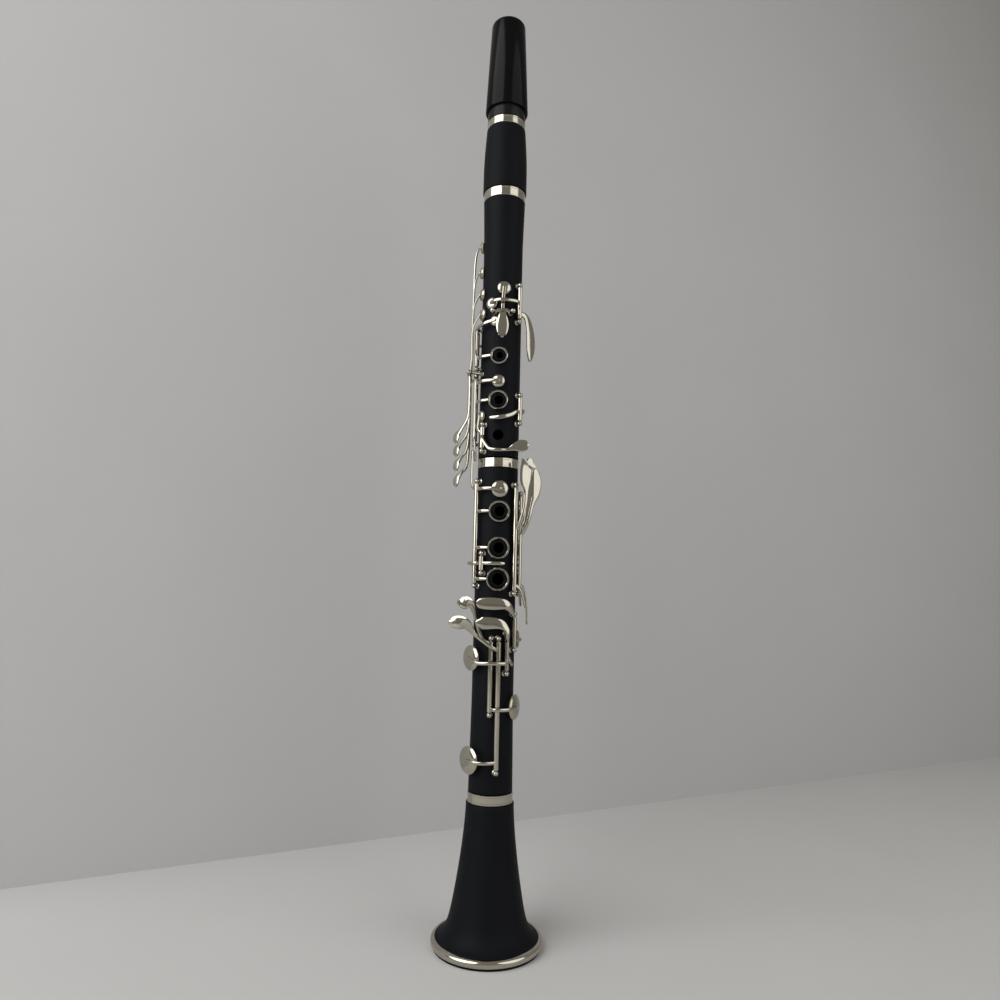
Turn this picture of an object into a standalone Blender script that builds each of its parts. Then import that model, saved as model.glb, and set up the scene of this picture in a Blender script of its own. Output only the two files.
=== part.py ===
"""A clarinet standing on its bell: black bodies, nickel rings and the full set of keys on their rods.

Metres, +Z up. The origin is the centre of the bell's foot, and the finger holes face -Y. Places on the
bodies are given as an angle round the axis (0 at the front, positive towards +X), a height above the
body's surface and a height above the joint's lower end.
"""
import math

import bmesh
import bpy
from mathutils import Matrix, Quaternion, Vector

# Lengths along the axis
BELL_LENGTH = 0.102
LOWER_LENGTH = 0.2335
UPPER_LENGTH = 0.1988
BARREL_LENGTH = 0.0659
SHANK_LENGTH = 0.0118
MOUTHPIECE_LENGTH = 0.0728
CAP_LENGTH = 0.0756
CAP_SEAT = 0.0088

# Radii and walls of the bodies
BODY_RADIUS = 0.01475
LOWER_FOOT_RADIUS = 0.0155
LOWER_FLARE_HEIGHT = 0.058
UPPER_TOP_RADIUS = 0.0157
UPPER_FLARE_LENGTH = 0.035
BORE_RADIUS = 0.0073
BORE_FOOT_RADIUS = 0.0092
BORE_FLARE_HEIGHT = 0.07
BARREL_WAIST_RADIUS = 0.0149
BARREL_BELLY_RADIUS = 0.0166
BARREL_BELLY_HEIGHT = 0.022
SHANK_RADIUS = 0.0144
MOUTHPIECE_RADIUS = 0.0119
MOUTHPIECE_TIP_RADIUS = 0.0088
CAP_FOOT_RADIUS = 0.0164
CAP_TOP_RADIUS = 0.0133
CAP_WALL = 0.0009
CAP_ROUNDING = 0.004

# Bell
BELL_NECK_RADIUS = 0.0167
BELL_EDGE_RADIUS = 0.0352
BELL_FOOT_RADIUS = 0.0368
BELL_MOUTH_RADIUS = 0.033
BELL_THROAT_RADIUS = 0.011
BELL_LIP_SHARE = 0.35
BELL_FOOT_HEIGHT = 0.0009
RIM_RING_RADIUS = 0.0384
RIM_RING_HEIGHT = 0.0066

# Tenons, sockets, corks and the metal rings round the sockets
TENON_LENGTH = 0.017
SOCKET_SPARE = 0.001
SOCKET_RADIUS = 0.0118
TENON_COLLAR = 0.0025
TENON_PLAY = 0.0004
CORK_THICKNESS = 0.0007
RING_THICKNESS = 0.0009
BELL_RING_LENGTH = 0.0075
BELL_RING_RADIUS = 0.016
LOWER_RING_LENGTH = 0.0075
LOWER_RING_RADIUS = 0.0152
BARREL_FOOT_RING_LENGTH = 0.0077
BARREL_FOOT_RING_RADIUS = 0.0159
BARREL_TOP_RING_LENGTH = 0.0064
BARREL_TOP_RING_RADIUS = 0.0147
FIT_GAP = 0.0003

# Reed and ligature
REED_HEEL = 0.0028
REED_TIP_CLEAR = 0.0006
REED_HALF_WIDTH = 0.0062
REED_THICKNESS = 0.0024
TABLE_DEPTH = 0.0065
BEAK_LENGTH = 0.032
TIP_THICKNESS = 0.0018
CHAMBER_HALF_WIDTH = 0.0045
CHAMBER_LENGTH = 0.034
CHAMBER_TIP = 0.0105
THROAT_RADIUS = 0.0052
THROAT_FOOT_RADIUS = 0.0077
LIGATURE_LENGTH = 0.017
LIGATURE_WALL = 0.0005
LIGATURE_LUG = 0.003
LUG_THICKNESS = 0.0009
LUG_HALF_GAP = 0.0006
LUG_LENGTH = 0.005
SCREW_RADIUS = 0.0006
SCREW_SPACING = 0.008
SCREW_HEAD_RADIUS = 0.0012
SCREW_HEAD_LENGTH = 0.0023
SCREW_CHAMFER = 0.0003

# Hinges: rods, posts and the tubes of the keys
ROD_RADIUS = 0.0008
TUBE_BORE = 0.0012
TUBE_RADIUS = 0.00175
POST_BALL = 0.0019
POST_STEM = 0.0011
POST_FOOT = 0.002
END_PLAY = 0.0003
ROD_HEIGHT = 0.0032

# Keys: arms, cups, rings and chimneys
ARM_HALF = 0.0012
ARM_THICK = 0.0007
TOUCH_THICK = 0.0008
CUP_HEIGHT = 0.0024
LARGE_CUP_HEIGHT = 0.0029
PAD_LAND = 0.0019
RING_HEIGHT = 0.0015
RING_WIDTH = 0.0014
RING_CHAMFER = 0.0003
CHIMNEY_PLAY = 0.0012
CHIMNEY_HEIGHT = 0.0018
CHIMNEY_WALL = 0.0013
SEAT_HEIGHT = 0.0008
ARM_OVERRUN = 0.0013

# Directions that the touches of some keys face, as angles round the axis
THROAT_G_FACING = 45
TRILL_FACING = -45
C_SHARP_FACING = 0
LEFT_LEAF_FACING = 20
LEFT_BACK_LEAF_FACING = 60

# Sections of arms and of touches, as shares of the half width and of the half thickness
ARM_SECTION = ((1, -1), (0.6, 1), (-0.6, 1), (-1, -1))
TOUCH_SECTION = ((1, 0), (0.55, 1), (-0.55, 1), (-1, 0), (-0.55, -1), (0.55, -1))

# Finger holes and pads of the upper joint: angle, height above its lower end, cup or ring radius
UPPER_HOLE_ANGLE = -2
FIRST_RING = (UPPER_HOLE_ANGLE, 0.0745, 0.0064)
SECOND_RING = (UPPER_HOLE_ANGLE, 0.0413, 0.0072)
THIRD_HOLE = (UPPER_HOLE_ANGLE, 0.016, 0.0038)
THUMB_RING = (180, 0.0895, 0.0066)
VENT_PAD = (-14, 0.1005, 0.004)
MIDDLE_PAD = (UPPER_HOLE_ANGLE, 0.0553, 0.0047)
THROAT_A_PAD = (5, 0.1261, 0.005)
THROAT_G_PAD = (-28, 0.1145, 0.0045)
REGISTER_PAD = (180, 0.1645, 0.004)
C_SHARP_PAD = (-58, 0.0305, 0.0042)
E_FLAT_PAD = (82, 0.0355, 0.0045)
TRILL_PADS = ((-66, 0.1085, 0.0045), (-72, 0.1245, 0.0045), (-82, 0.1425, 0.0045), (-98, 0.1645, 0.0045))

# Finger holes and pads of the lower joint, in the same form
LOWER_HOLE_ANGLE = 7.5
LOWER_RINGS = ((LOWER_HOLE_ANGLE, 0.194, 0.0076), (LOWER_HOLE_ANGLE, 0.168, 0.0078),
               (LOWER_HOLE_ANGLE, 0.146, 0.0081))
LOWER_VENT_PAD = (LOWER_HOLE_ANGLE, 0.21, 0.006)
B_SLIVER_PAD = (-88, 0.157, 0.0045)
LOW_E_PAD = (-58, 0.022, 0.00935)
LOW_F_PAD = (-62, 0.091, 0.00885)
LOW_F_SHARP_PAD = (68, 0.0574, 0.00885)
A_FLAT_PAD = (95, 0.104, 0.0065)

# How far keys that stand open are turned back from closed, in degrees
RING_KEY_TRAVEL = 2.9
LOWER_RING_TRAVEL = 3.4
LOW_KEY_TRAVEL = 9

# Rods along the bodies: angle, height above the surface, lower and upper post
UPPER_RING_ROD = (-82, ROD_HEIGHT, 0.0105, 0.0975)
UPPER_RING_MIDDLE_POST = 0.0675
FIRST_TUBE_TOP = 0.082
THROAT_G_ROD = (47, ROD_HEIGHT, 0.1015, 0.1295)
C_SHARP_ROD = (-42, ROD_HEIGHT, 0.004, 0.0235)
E_FLAT_ROD = (56, ROD_HEIGHT, 0.0255, 0.0465)
LOWER_RING_ROD = (-56, ROD_HEIGHT, 0.141, 0.216)
B_SLIVER_ROD = (-35, ROD_HEIGHT, 0.15, 0.164)
LOW_E_ROD = (11, 0.0039, 0.015, 0.105)
LOW_F_SHARP_ROD = (-6, 0.0026, 0.053, 0.105)
LOW_F_ROD = (31, ROD_HEIGHT, 0.081, 0.109)
A_FLAT_ROD = (52, ROD_HEIGHT, 0.097, 0.122)
LEFT_E_ROD = (48, ROD_HEIGHT, 0.136, LOWER_LENGTH - 0.02)
LEFT_F_ROD = (70, ROD_HEIGHT, 0.136, LOWER_LENGTH - 0.0255)
LEFT_F_SHARP_ROD = (110, ROD_HEIGHT, 0.136, LOWER_LENGTH - 0.0255)

# Rods across the body: height above the surface, height above the joint's lower end, ends along the rod
THROAT_A_ROD = (0.0035, 0.1075, -0.0068, 0.0082)
REGISTER_ROD = (0.0035, 0.1245, -0.006, 0.006)
CROSS_CLEARANCE = 0.0035
TRILL_ROD = (0.00805, 0.0625)
TRILL_POST_SPREAD = 28
TRILL_PITCH = 0.0048
TRILL_TUBE_HALF = 0.0015
TRILL_TOUCHES = (0.0145, 0.0055, -0.0045, -0.0155)

# Tubes let into the back of the upper joint
REGISTER_TUBE_RADIUS = 0.0026
REGISTER_TUBE_BORE = 0.0014
REGISTER_TUBE_RISE = 0.001
TUBE_INNER_END = 0.0082

# Thumb rest
REST_HEIGHT = 0.196
REST_LENGTH = 0.028
REST_WIDTH = 0.013
REST_PLATE = 0.0016
REST_SHELF = 0.015
REST_SHELF_THICKNESS = 0.0026

# Facets
BELL_STEPS = 28
BODY_STEPS = 18
SMALL_STEPS = 10
RING_STEPS = 14
POST_STEPS = 6
TUBE_SIDES = 8
ROD_SIDES = 6

# Finishes: colour, roughness, metallic
EBONITE = ((0.012, 0.012, 0.013), 0.5, 0.0)
GLOSS_BLACK = ((0.008, 0.008, 0.009), 0.2, 0.0)
NICKEL = ((0.74, 0.71, 0.66), 0.2, 1.0)
STEEL = ((0.6, 0.59, 0.57), 0.25, 1.0)
CORK = ((0.5, 0.32, 0.17), 0.9, 0.0)
CANE = ((0.72, 0.57, 0.31), 0.65, 0.0)

# Levels that follow from the lengths
LOWER_BASE = BELL_LENGTH
UPPER_BASE = LOWER_BASE + LOWER_LENGTH
BARREL_BASE = UPPER_BASE + UPPER_LENGTH
MOUTHPIECE_BASE = BARREL_BASE + BARREL_LENGTH
SOCKET_DEPTH = TENON_LENGTH + SOCKET_SPARE
CORK_RADIUS = SOCKET_RADIUS - FIT_GAP
COLLAR_RADIUS = SOCKET_RADIUS - TENON_PLAY
CORE_RADIUS = CORK_RADIUS - CORK_THICKNESS - FIT_GAP


for leftover in list(bpy.data.objects):
    bpy.data.objects.remove(leftover)

parts = bpy.data.collections.new("clarinet")
bpy.context.scene.collection.children.link(parts)
construction = bpy.data.collections.new("construction")
bpy.context.scene.collection.children.link(construction)


# Placing

def polar(angle, radius, z):
    """A point at an angle round the axis, 0 degrees at the front."""
    turn = math.radians(angle)
    return Vector((radius * math.sin(turn), -radius * math.cos(turn), z))


def seat_frame(angle, radius, z):
    """A frame on the body: its X runs round the body, its Y up and its Z outwards."""
    turn = math.radians(angle)
    across = (math.cos(turn), math.sin(turn), 0)
    outward = (math.sin(turn), -math.cos(turn), 0)
    rotation = Matrix((across, (0, 0, 1), outward)).transposed()
    return Matrix.Translation(polar(angle, radius, z)) @ rotation.to_4x4()


def along_frame(start, end):
    """A frame at the middle of a line, with its Z along the line."""
    rotation = (end - start).to_track_quat("Z", "Y").to_matrix().to_4x4()
    return Matrix.Translation((start + end) / 2) @ rotation


# Making solids

def construction_object(mesh):
    piece = bpy.data.objects.new("piece", mesh)
    construction.objects.link(piece)
    return piece


def settled_mesh(piece):
    """The piece's mesh with its modifiers worked in."""
    depsgraph = bpy.context.evaluated_depsgraph_get()
    return bpy.data.meshes.new_from_object(piece.evaluated_get(depsgraph))


def discard(pieces):
    for piece in pieces:
        bpy.data.objects.remove(piece)


def turned(section, steps, place=None, closed=False):
    """A section of (radius, height) points, running down its outer side, turned about its own Z axis."""
    count = len(section)
    edges = [(index, index + 1) for index in range(count - 1)]
    if closed:
        edges.append((count - 1, 0))
    mesh = bpy.data.meshes.new("section")
    mesh.from_pydata([(radius, 0, height) for radius, height in section], edges, [])
    profile = construction_object(mesh)
    screw = profile.modifiers.new("turn", "SCREW")
    screw.steps = steps
    screw.render_steps = steps
    screw.use_merge_vertices = True
    screw.merge_threshold = 0.000001
    solid = construction_object(settled_mesh(profile))
    discard([profile])
    if place is not None:
        solid.data.transform(place)
    return solid


def cylinder(start, end, radius, sides=TUBE_SIDES, end_radius=None):
    """A round bar, or a taper where an end radius is given."""
    far = radius if end_radius is None else end_radius
    mesh = bpy.data.meshes.new("cylinder")
    shape = bmesh.new()
    bmesh.ops.create_cone(shape, cap_ends=True, segments=sides, radius1=radius, radius2=far,
                          depth=(end - start).length, matrix=along_frame(start, end))
    shape.to_mesh(mesh)
    shape.free()
    return construction_object(mesh)


def box(low, high):
    mesh = bpy.data.meshes.new("box")
    shape = bmesh.new()
    low = Vector(low)
    high = Vector(high)
    size = Matrix.Diagonal((high - low).to_4d())
    bmesh.ops.create_cube(shape, size=1, matrix=Matrix.Translation((low + high) / 2) @ size)
    shape.to_mesh(mesh)
    shape.free()
    return construction_object(mesh)


def loft(sections):
    """A closed body through rings of points, one ring a station, with flat ends."""
    shape = bmesh.new()
    rings = [[shape.verts.new(point) for point in section] for section in sections]
    count = len(rings[0])
    for lower, upper in zip(rings, rings[1:]):
        for index in range(count):
            following = (index + 1) % count
            shape.faces.new((lower[index], lower[following], upper[following], upper[index]))
    shape.faces.new(rings[0][::-1])
    shape.faces.new(rings[-1])
    bmesh.ops.recalc_face_normals(shape, faces=shape.faces)
    mesh = bpy.data.meshes.new("loft")
    shape.to_mesh(mesh)
    shape.free()
    return construction_object(mesh)


def bar(stations, thickness, facing=None):
    """A flat bar of rounded section through (point, half width) stations.

    Its flat faces away from the axis, or towards an angle round it.
    """
    corners = TOUCH_SECTION if thickness == TOUCH_THICK else ARM_SECTION
    points = [point for point, width in stations]
    sections = []
    for index, (point, width) in enumerate(stations):
        before = points[max(index - 1, 0)]
        after = points[min(index + 1, len(points) - 1)]
        forward = (after - before).normalized()
        outward = Vector((point.x, point.y, 0)).normalized() if facing is None else polar(facing, 1, 0)
        side = forward.cross(outward).normalized()
        up = side.cross(forward)
        sections.append([point + side * width * across + up * thickness * rise for across, rise in corners])
    return loft(sections)


def body_bar(base, stations, thickness=ARM_THICK, facing=None):
    """A bar along (angle, height above the surface, height above base, half width) stations."""
    return bar([(polar(angle, BODY_RADIUS + height, base + z), width)
                for angle, height, z, width in stations], thickness, facing)


def free_bar(base, stations, thickness=TOUCH_THICK):
    """A bar along (x, distance in front of the surface, height above base, half width) stations."""
    return bar([(Vector((x, -BODY_RADIUS - front, base + z)), width)
                for x, front, z, width in stations], thickness)


def fuse(pieces, cutters=()):
    """One mesh from pieces that run into each other, less the cutters."""
    solid = pieces[0]
    for piece in pieces[1:]:
        union = solid.modifiers.new("join", "BOOLEAN")
        union.operation = "UNION"
        union.object = piece
    for cutter in cutters:
        cut = solid.modifiers.new("cut", "BOOLEAN")
        cut.operation = "DIFFERENCE"
        cut.object = cutter
    mesh = settled_mesh(solid)
    discard(list(pieces) + list(cutters))
    return mesh


def finished(name, mesh, finish):
    """A named part with its own material."""
    mesh.name = name
    colour, roughness, metallic = finish
    material = bpy.data.materials.new(name + "_finish")
    material.use_nodes = True
    shader = material.node_tree.nodes["Principled BSDF"]
    shader.inputs["Base Color"].default_value = (*colour, 1)
    shader.inputs["Roughness"].default_value = roughness
    shader.inputs["Metallic"].default_value = metallic
    mesh.materials.clear()
    mesh.materials.append(material)
    mesh.shade_smooth()
    mesh.set_sharp_from_angle(angle=math.radians(35))
    part = bpy.data.objects.new(name, mesh)
    parts.objects.link(part)
    return part


def single(name, piece, finish):
    """A part made of one piece."""
    mesh = settled_mesh(piece)
    discard([piece])
    return finished(name, mesh, finish)


# Bodies

def tenon(shoulder, reach):
    """The steps of a tenon from its shoulder to its tip; reach is signed along Z."""
    way = math.copysign(1, reach)
    tip = shoulder + reach
    return [(COLLAR_RADIUS, shoulder), (COLLAR_RADIUS, shoulder + way * TENON_COLLAR),
            (CORE_RADIUS, shoulder + way * TENON_COLLAR), (CORE_RADIUS, tip - way * TENON_COLLAR),
            (COLLAR_RADIUS, tip - way * TENON_COLLAR), (COLLAR_RADIUS, tip)]


def tenon_cork(name, shoulder, reach):
    """The cork sleeve between a tenon's two collars."""
    ends = sorted((shoulder, shoulder + reach))
    low = ends[0] + TENON_COLLAR + FIT_GAP
    high = ends[1] - TENON_COLLAR - FIT_GAP
    inner = CORE_RADIUS + FIT_GAP
    section = [(CORK_RADIUS, high), (CORK_RADIUS, low), (inner, low), (inner, high)]
    return single(name, turned(section, BODY_STEPS, closed=True), CORK)


def socket_ring(name, base, length, radius):
    """A metal ring let in flush round a socket, with a shallow bead at each edge."""
    inner = radius - RING_THICKNESS
    low = base + FIT_GAP
    high = base + length - FIT_GAP
    bead = RING_THICKNESS / 3
    section = [(radius - bead, high), (radius, high - bead), (radius, low + bead), (radius - bead, low),
               (inner, low), (inner, high)]
    return single(name, turned(section, BODY_STEPS, closed=True), NICKEL)


def ring_land(radius):
    """The radius of the body under a socket ring."""
    return radius - RING_THICKNESS - FIT_GAP


def bell_outside(z):
    """The bell's outer radius: a slow flare with a sharp lip at its edge."""
    share = 1 - (z - RIM_RING_HEIGHT) / (BELL_LENGTH - BELL_RING_LENGTH - RIM_RING_HEIGHT)
    spread = BELL_EDGE_RADIUS - BELL_NECK_RADIUS
    return BELL_NECK_RADIUS + spread * ((1 - BELL_LIP_SHARE) * share ** 1.55 + BELL_LIP_SHARE * share ** 20)


def bell_inside(z):
    """The bell's inner radius, from the throat under the socket to the open mouth."""
    share = 1 - z / (BELL_LENGTH - SOCKET_DEPTH)
    spread = BELL_MOUTH_RADIUS - BELL_THROAT_RADIUS
    return BELL_THROAT_RADIUS + spread * (0.6 * share ** 1.6 + 0.4 * share ** 10)


def make_bell():
    neck = BELL_LENGTH - BELL_RING_LENGTH
    land = ring_land(BELL_RING_RADIUS)
    top = BELL_LENGTH - FIT_GAP
    outside = [(SOCKET_RADIUS, top), (land, top), (land, neck)]
    steps = 6
    for step in range(steps + 1):
        z = neck + (RIM_RING_HEIGHT - neck) * (1 - (1 - step / steps) ** 2)
        outside.append((bell_outside(z), z))
    outside += [(BELL_EDGE_RADIUS, BELL_FOOT_HEIGHT), (BELL_FOOT_RADIUS, BELL_FOOT_HEIGHT),
                (BELL_FOOT_RADIUS, 0)]
    throat = BELL_LENGTH - SOCKET_DEPTH
    levels = [throat * (step / steps) ** 2 for step in range(steps)] + [throat]
    inside = [(bell_inside(z), z) for z in levels]
    section = outside + inside + [(SOCKET_RADIUS, throat)]
    single("bell", turned(section, BELL_STEPS, closed=True), EBONITE)
    socket_ring("bell_socket_ring", neck, BELL_RING_LENGTH - FIT_GAP, BELL_RING_RADIUS)
    inner = BELL_EDGE_RADIUS + FIT_GAP
    low = BELL_FOOT_HEIGHT + FIT_GAP
    high = RIM_RING_HEIGHT
    rounding = (high - low) / 4
    rim = [(RIM_RING_RADIUS - rounding, high), (RIM_RING_RADIUS, high - rounding),
           (RIM_RING_RADIUS, low + rounding), (RIM_RING_RADIUS - rounding, low), (inner, low), (inner, high)]
    single("bell_rim_ring", turned(rim, BELL_STEPS, closed=True), NICKEL)


def hole(base, place, radius, sides=TUBE_SIDES):
    """A cutter for a tone hole through the wall."""
    angle, z, size = place
    return cylinder(polar(angle, BORE_RADIUS - CHIMNEY_HEIGHT, base + z),
                    polar(angle, BODY_RADIUS + 2 * CHIMNEY_HEIGHT, base + z), radius, sides)


def chimney(base, place):
    """The raised rim of a finger hole inside a ring."""
    angle, z, size = place
    radius = size - RING_WIDTH - CHIMNEY_PLAY
    return cylinder(polar(angle, (BODY_RADIUS + SOCKET_RADIUS) / 2 - CHIMNEY_HEIGHT, base + z),
                    polar(angle, BODY_RADIUS + CHIMNEY_HEIGHT, base + z), radius, SMALL_STEPS)


def chimney_bore(place):
    return place[2] - RING_WIDTH - CHIMNEY_PLAY - CHIMNEY_WALL


def pad_seat(base, place):
    """The flat seat of a large pad, standing proud of the round body."""
    angle, z, size = place
    return cylinder(polar(angle, SOCKET_RADIUS, base + z),
                    polar(angle, BODY_RADIUS + SEAT_HEIGHT, base + z), size - PAD_LAND / 2, RING_STEPS)


def pad_hole(base, place):
    return hole(base, place, place[2] - PAD_LAND)


def make_lower_joint():
    top = UPPER_BASE - FIT_GAP
    ring_foot = UPPER_BASE - LOWER_RING_LENGTH
    land = ring_land(LOWER_RING_RADIUS)
    shoulder = LOWER_BASE + FIT_GAP
    section = [(SOCKET_RADIUS, top), (land, top), (land, ring_foot), (BODY_RADIUS, ring_foot),
               (BODY_RADIUS, LOWER_BASE + LOWER_FLARE_HEIGHT), (LOWER_FOOT_RADIUS, shoulder)]
    section += tenon(shoulder, -TENON_LENGTH)
    section += [(BORE_FOOT_RADIUS, shoulder - TENON_LENGTH), (BORE_RADIUS, LOWER_BASE + BORE_FLARE_HEIGHT),
                (BORE_RADIUS, UPPER_BASE - SOCKET_DEPTH), (SOCKET_RADIUS, UPPER_BASE - SOCKET_DEPTH)]
    solids = [turned(section, BODY_STEPS, closed=True)]
    solids += [chimney(LOWER_BASE, place) for place in LOWER_RINGS]
    seats = (LOW_E_PAD, LOW_F_PAD, LOW_F_SHARP_PAD, A_FLAT_PAD)
    solids += [pad_seat(LOWER_BASE, place) for place in seats]
    cutters = [hole(LOWER_BASE, place, chimney_bore(place)) for place in LOWER_RINGS]
    cutters += [pad_hole(LOWER_BASE, place) for place in seats + (LOWER_VENT_PAD, B_SLIVER_PAD)]
    finished("lower_joint", fuse(solids, cutters), EBONITE)
    tenon_cork("lower_joint_cork", shoulder, -TENON_LENGTH)
    socket_ring("lower_joint_socket_ring", ring_foot, LOWER_RING_LENGTH - FIT_GAP, LOWER_RING_RADIUS)


def make_upper_joint():
    top = BARREL_BASE
    shoulder = UPPER_BASE + FIT_GAP
    section = [(BORE_RADIUS, top + TENON_LENGTH)] + tenon(top, TENON_LENGTH)[::-1]
    section += [(UPPER_TOP_RADIUS, top), (BODY_RADIUS, top - UPPER_FLARE_LENGTH), (BODY_RADIUS, shoulder)]
    section += tenon(shoulder, -TENON_LENGTH)
    section.append((BORE_RADIUS, shoulder - TENON_LENGTH))
    solids = [turned(section, BODY_STEPS, closed=True)]
    solids += [chimney(UPPER_BASE, place) for place in (FIRST_RING, SECOND_RING)]
    cutters = [hole(UPPER_BASE, place, chimney_bore(place)) for place in (FIRST_RING, SECOND_RING)]
    cutters.append(hole(UPPER_BASE, THIRD_HOLE, THIRD_HOLE[2]))
    pads = (VENT_PAD, MIDDLE_PAD, THROAT_A_PAD, THROAT_G_PAD, C_SHARP_PAD, E_FLAT_PAD) + TRILL_PADS
    cutters += [pad_hole(UPPER_BASE, place) for place in pads]
    cutters.append(hole(UPPER_BASE, THUMB_RING, thumb_tube_radius() + FIT_GAP, BODY_STEPS))
    cutters.append(hole(UPPER_BASE, REGISTER_PAD, REGISTER_TUBE_RADIUS + FIT_GAP, BODY_STEPS))
    finished("upper_joint", fuse(solids, cutters), EBONITE)
    tenon_cork("upper_joint_top_cork", top, TENON_LENGTH)
    tenon_cork("upper_joint_bottom_cork", shoulder, -TENON_LENGTH)


def thumb_tube_radius():
    return THUMB_RING[2] - RING_WIDTH - CHIMNEY_PLAY


def body_tube(name, place, radius, bore, rise, finish):
    """A tube let into the back of the upper joint, standing a little proud."""
    angle, z, size = place
    length = BODY_RADIUS + rise - TUBE_INNER_END
    section = [(radius, length), (radius, 0), (bore, 0), (bore, length)]
    frame = seat_frame(angle, TUBE_INNER_END, UPPER_BASE + z)
    single(name, turned(section, SMALL_STEPS, frame, closed=True), finish)


def make_barrel():
    top = MOUTHPIECE_BASE
    base = BARREL_BASE + FIT_GAP
    foot_ring = BARREL_BASE + BARREL_FOOT_RING_LENGTH
    top_ring = top - BARREL_TOP_RING_LENGTH
    foot_land = ring_land(BARREL_FOOT_RING_RADIUS)
    top_land = ring_land(BARREL_TOP_RING_RADIUS)
    belly = BARREL_BASE + BARREL_BELLY_HEIGHT
    section = [(SOCKET_RADIUS, top), (top_land, top), (top_land, top_ring), (BARREL_WAIST_RADIUS, top_ring)]
    swell = BARREL_BELLY_RADIUS - BARREL_WAIST_RADIUS
    for share in (0.35, 0.7):
        drop = swell * math.sin(share * math.pi / 2)
        section.append((BARREL_WAIST_RADIUS + drop, top_ring + (belly - top_ring) * share))
    section += [(BARREL_BELLY_RADIUS, belly), (BARREL_BELLY_RADIUS, foot_ring), (foot_land, foot_ring),
                (foot_land, base), (SOCKET_RADIUS, base), (SOCKET_RADIUS, BARREL_BASE + SOCKET_DEPTH),
                (BORE_RADIUS, BARREL_BASE + SOCKET_DEPTH), (BORE_RADIUS, top - SOCKET_DEPTH),
                (SOCKET_RADIUS, top - SOCKET_DEPTH)]
    single("barrel", turned(section, BODY_STEPS, closed=True), EBONITE)
    socket_ring("barrel_bottom_ring", BARREL_BASE, BARREL_FOOT_RING_LENGTH, BARREL_FOOT_RING_RADIUS)
    socket_ring("barrel_top_ring", top_ring, BARREL_TOP_RING_LENGTH, BARREL_TOP_RING_RADIUS)


def make_mouthpiece():
    base = MOUTHPIECE_BASE + FIT_GAP
    shank = MOUTHPIECE_BASE + SHANK_LENGTH
    tip = MOUTHPIECE_BASE + MOUTHPIECE_LENGTH
    section = [(0, tip), (MOUTHPIECE_TIP_RADIUS, tip), (MOUTHPIECE_RADIUS, tip - BEAK_LENGTH),
               (MOUTHPIECE_RADIUS, shank + (SHANK_RADIUS - MOUTHPIECE_RADIUS)), (SHANK_RADIUS, shank),
               (SHANK_RADIUS, base)]
    section += tenon(base, -TENON_LENGTH)
    section.append((0, base - TENON_LENGTH))
    reach = 2 * SHANK_RADIUS
    table = box((-reach, TABLE_DEPTH, shank + FIT_GAP), (reach, TABLE_DEPTH + reach, tip + reach))
    lift = TABLE_DEPTH - TIP_THICKNESS
    slope = [[(-reach, lift, tip), (reach, lift, tip), (reach, -reach, tip), (-reach, -reach, tip)],
             [(-reach, -MOUTHPIECE_RADIUS, tip - BEAK_LENGTH), (reach, -MOUTHPIECE_RADIUS, tip - BEAK_LENGTH),
              (reach, -reach, tip - BEAK_LENGTH), (-reach, -reach, tip - BEAK_LENGTH)]]
    over = [(x, y, z + reach) for x, y, z in slope[0]]
    beak = loft([[Vector(point) for point in ring] for ring in (over, slope[0], slope[1])])
    bore_top = tip - CHAMBER_LENGTH
    bore_foot = base - TENON_LENGTH - SOCKET_SPARE
    bore = cylinder(Vector((0, 0, bore_foot)), Vector((0, 0, bore_top)), THROAT_FOOT_RADIUS, SMALL_STEPS,
                    THROAT_RADIUS)
    window = box((-CHAMBER_HALF_WIDTH, 0, bore_top - BORE_RADIUS),
                 (CHAMBER_HALF_WIDTH, TABLE_DEPTH + reach, tip - CHAMBER_TIP))
    mesh = fuse([turned(section, BODY_STEPS)], [table, beak, bore, window])
    finished("mouthpiece", mesh, EBONITE)
    tenon_cork("mouthpiece_tenon_cork", base, -TENON_LENGTH)


def make_reed():
    heel = MOUTHPIECE_BASE + SHANK_LENGTH + REED_HEEL
    length = MOUTHPIECE_BASE + MOUTHPIECE_LENGTH - REED_TIP_CLEAR - heel
    flat = TABLE_DEPTH + FIT_GAP
    shares = ((0, 1), (0.5, 1), (0.8, 0.5), (1, 0.12))
    sections = []
    for along, share in shares:
        z = heel + length * along
        rise = REED_THICKNESS * share
        half = REED_HALF_WIDTH
        outline = ((-half, 0), (half, 0), (half, rise / 2), (half / 2, rise), (-half / 2, rise),
                   (-half, rise / 2))
        sections.append([Vector((x, flat + up, z)) for x, up in outline])
    single("reed", loft(sections), CANE)


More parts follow.
